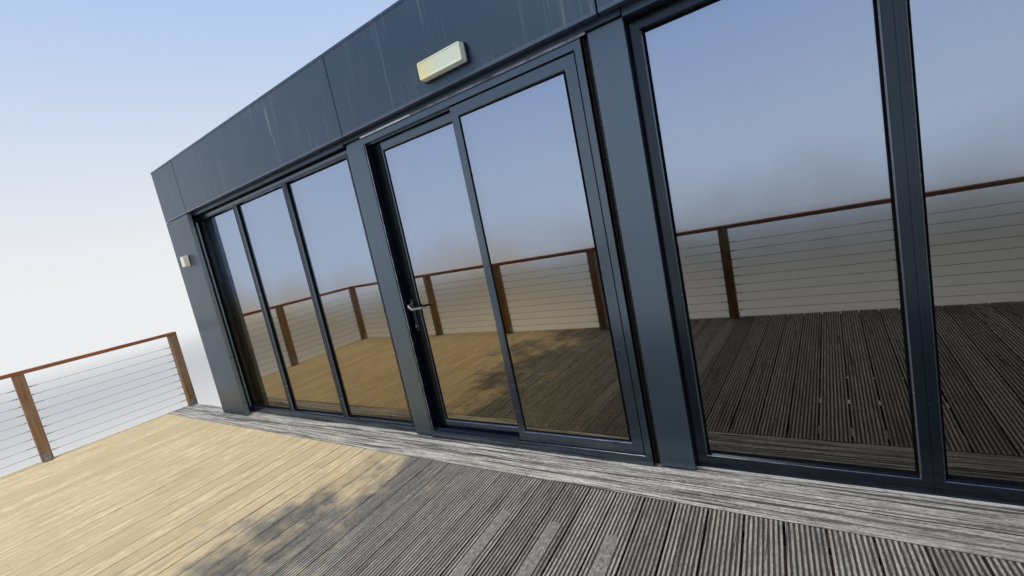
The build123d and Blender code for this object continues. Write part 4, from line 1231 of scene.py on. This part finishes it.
grit_strips(grooved_boards())
border()
deck_screws()
joist_tape()
FIXED_PANES, MOVING_PANE = ("window_glass", "fixed_leaf_glass"), ("sliding_leaf_glass",)
for panes in (
    ("gaskets_cabin", "rubber", gasket, FIXED_PANES),
    ("gaskets_door_leaf", "rubber", gasket, MOVING_PANE, "door_leaf"),
    ("spacers_cabin", "spacer_bar", spacer_bar, FIXED_PANES),
    ("spacers_door_leaf", "spacer_bar", spacer_bar, MOVING_PANE, "door_leaf"),
    ("bead_faces", "bead_coat", bead_highlight, ("window_glass",)),
    ("sash_steps", "frame_coat_shaded", sash_step, ("window_glass",)),
    ("sill_arrises_cabin", "worn_edge", sill_highlight, FIXED_PANES, "cabin", 0.0004),
    ("sill_arrises_door_leaf", "worn_edge", sill_highlight, MOVING_PANE, "door_leaf", 0.0004),
):
    glazing(*panes)
door_trims()
perimeter_seals()
head_trims()
brush_seals()
lever_handle()
bulkhead()
column_lamps()
round_wires()
post_shoes()
frame_bolts()
rim_screws()
roof_seams()
fascia_lips()
column_returns()

for timber in (
    ("front_hand_rail", "front_rail_cap", "rail_wood_x", "rail_wood", 0.004, 3),
    ("side_hand_rails", "side_rail_caps", "rail_wood_y", "rail_wood", 0.004, 3),
    ("rail_posts", "rail_post_timbers", "post_wood", "rail_wood", 0.003),
    ("deck_front_rim", "front_rim_board", "frame_wood_x", "frame_wood", 0.003, 2, RIM_INSET),
    ("deck_end_rims", "end_rim_boards", "frame_wood_y", "frame_wood", 0.003, 2, RIM_INSET),
    ("deck_joists", "joist_timbers", "frame_wood_x", "frame_wood", 0.002, 1),
    ("bearers", "bearer_timbers", "frame_wood_y", "frame_wood", 0.003),
    ("knee_braces", "brace_timbers", "frame_wood_y", "frame_wood", 0.002, 1),
    ("deck_posts", "deck_post_timbers", "frame_wood_z", "frame_wood", 0.004),
    ("cabin_posts", "cabin_post_timbers", "frame_wood_z", "frame_wood", 0.004),
    ("head_bands", "band_sheets", "band_coat", "dark_frame", 0.002),
):
    soften(*timber)

CAD_MATERIALS = {
    "panel": ("side_fascias", "rear_fascia", "side_cladding", "rear_cladding", "floor_skirts"),
    "panel_fascia": ("front_fascia",),
    "panel_plain": ("pilasters",),
    "panel_corner": ("corner_columns",),
    "band_coat": ("roof_edge_trim",),
    "roof": ("long_parapets", "side_parapets", "roof"),
    "wall_lining": ("side_walls", "rear_wall"),
    "pier_coat": ("corner_piers",),
    "floor_planks": ("cabin_floor",),
    "frame_coat": ("left_window_frame", "door_frame", "fixed_leaf", "sliding_leaf"),
    "frame_coat_shaded": ("right_window_frame",),
    "window_glass_mat": ("window_glass", "fixed_leaf_glass", "sliding_leaf_glass"),
    "slot_filler": ("door_side_filler",),
}
for material, nodes in CAD_MATERIALS.items():
    for node in nodes:
        mesh = NODES[node].data
        mesh.materials.clear()
        mesh.materials.append(MATERIALS[material])
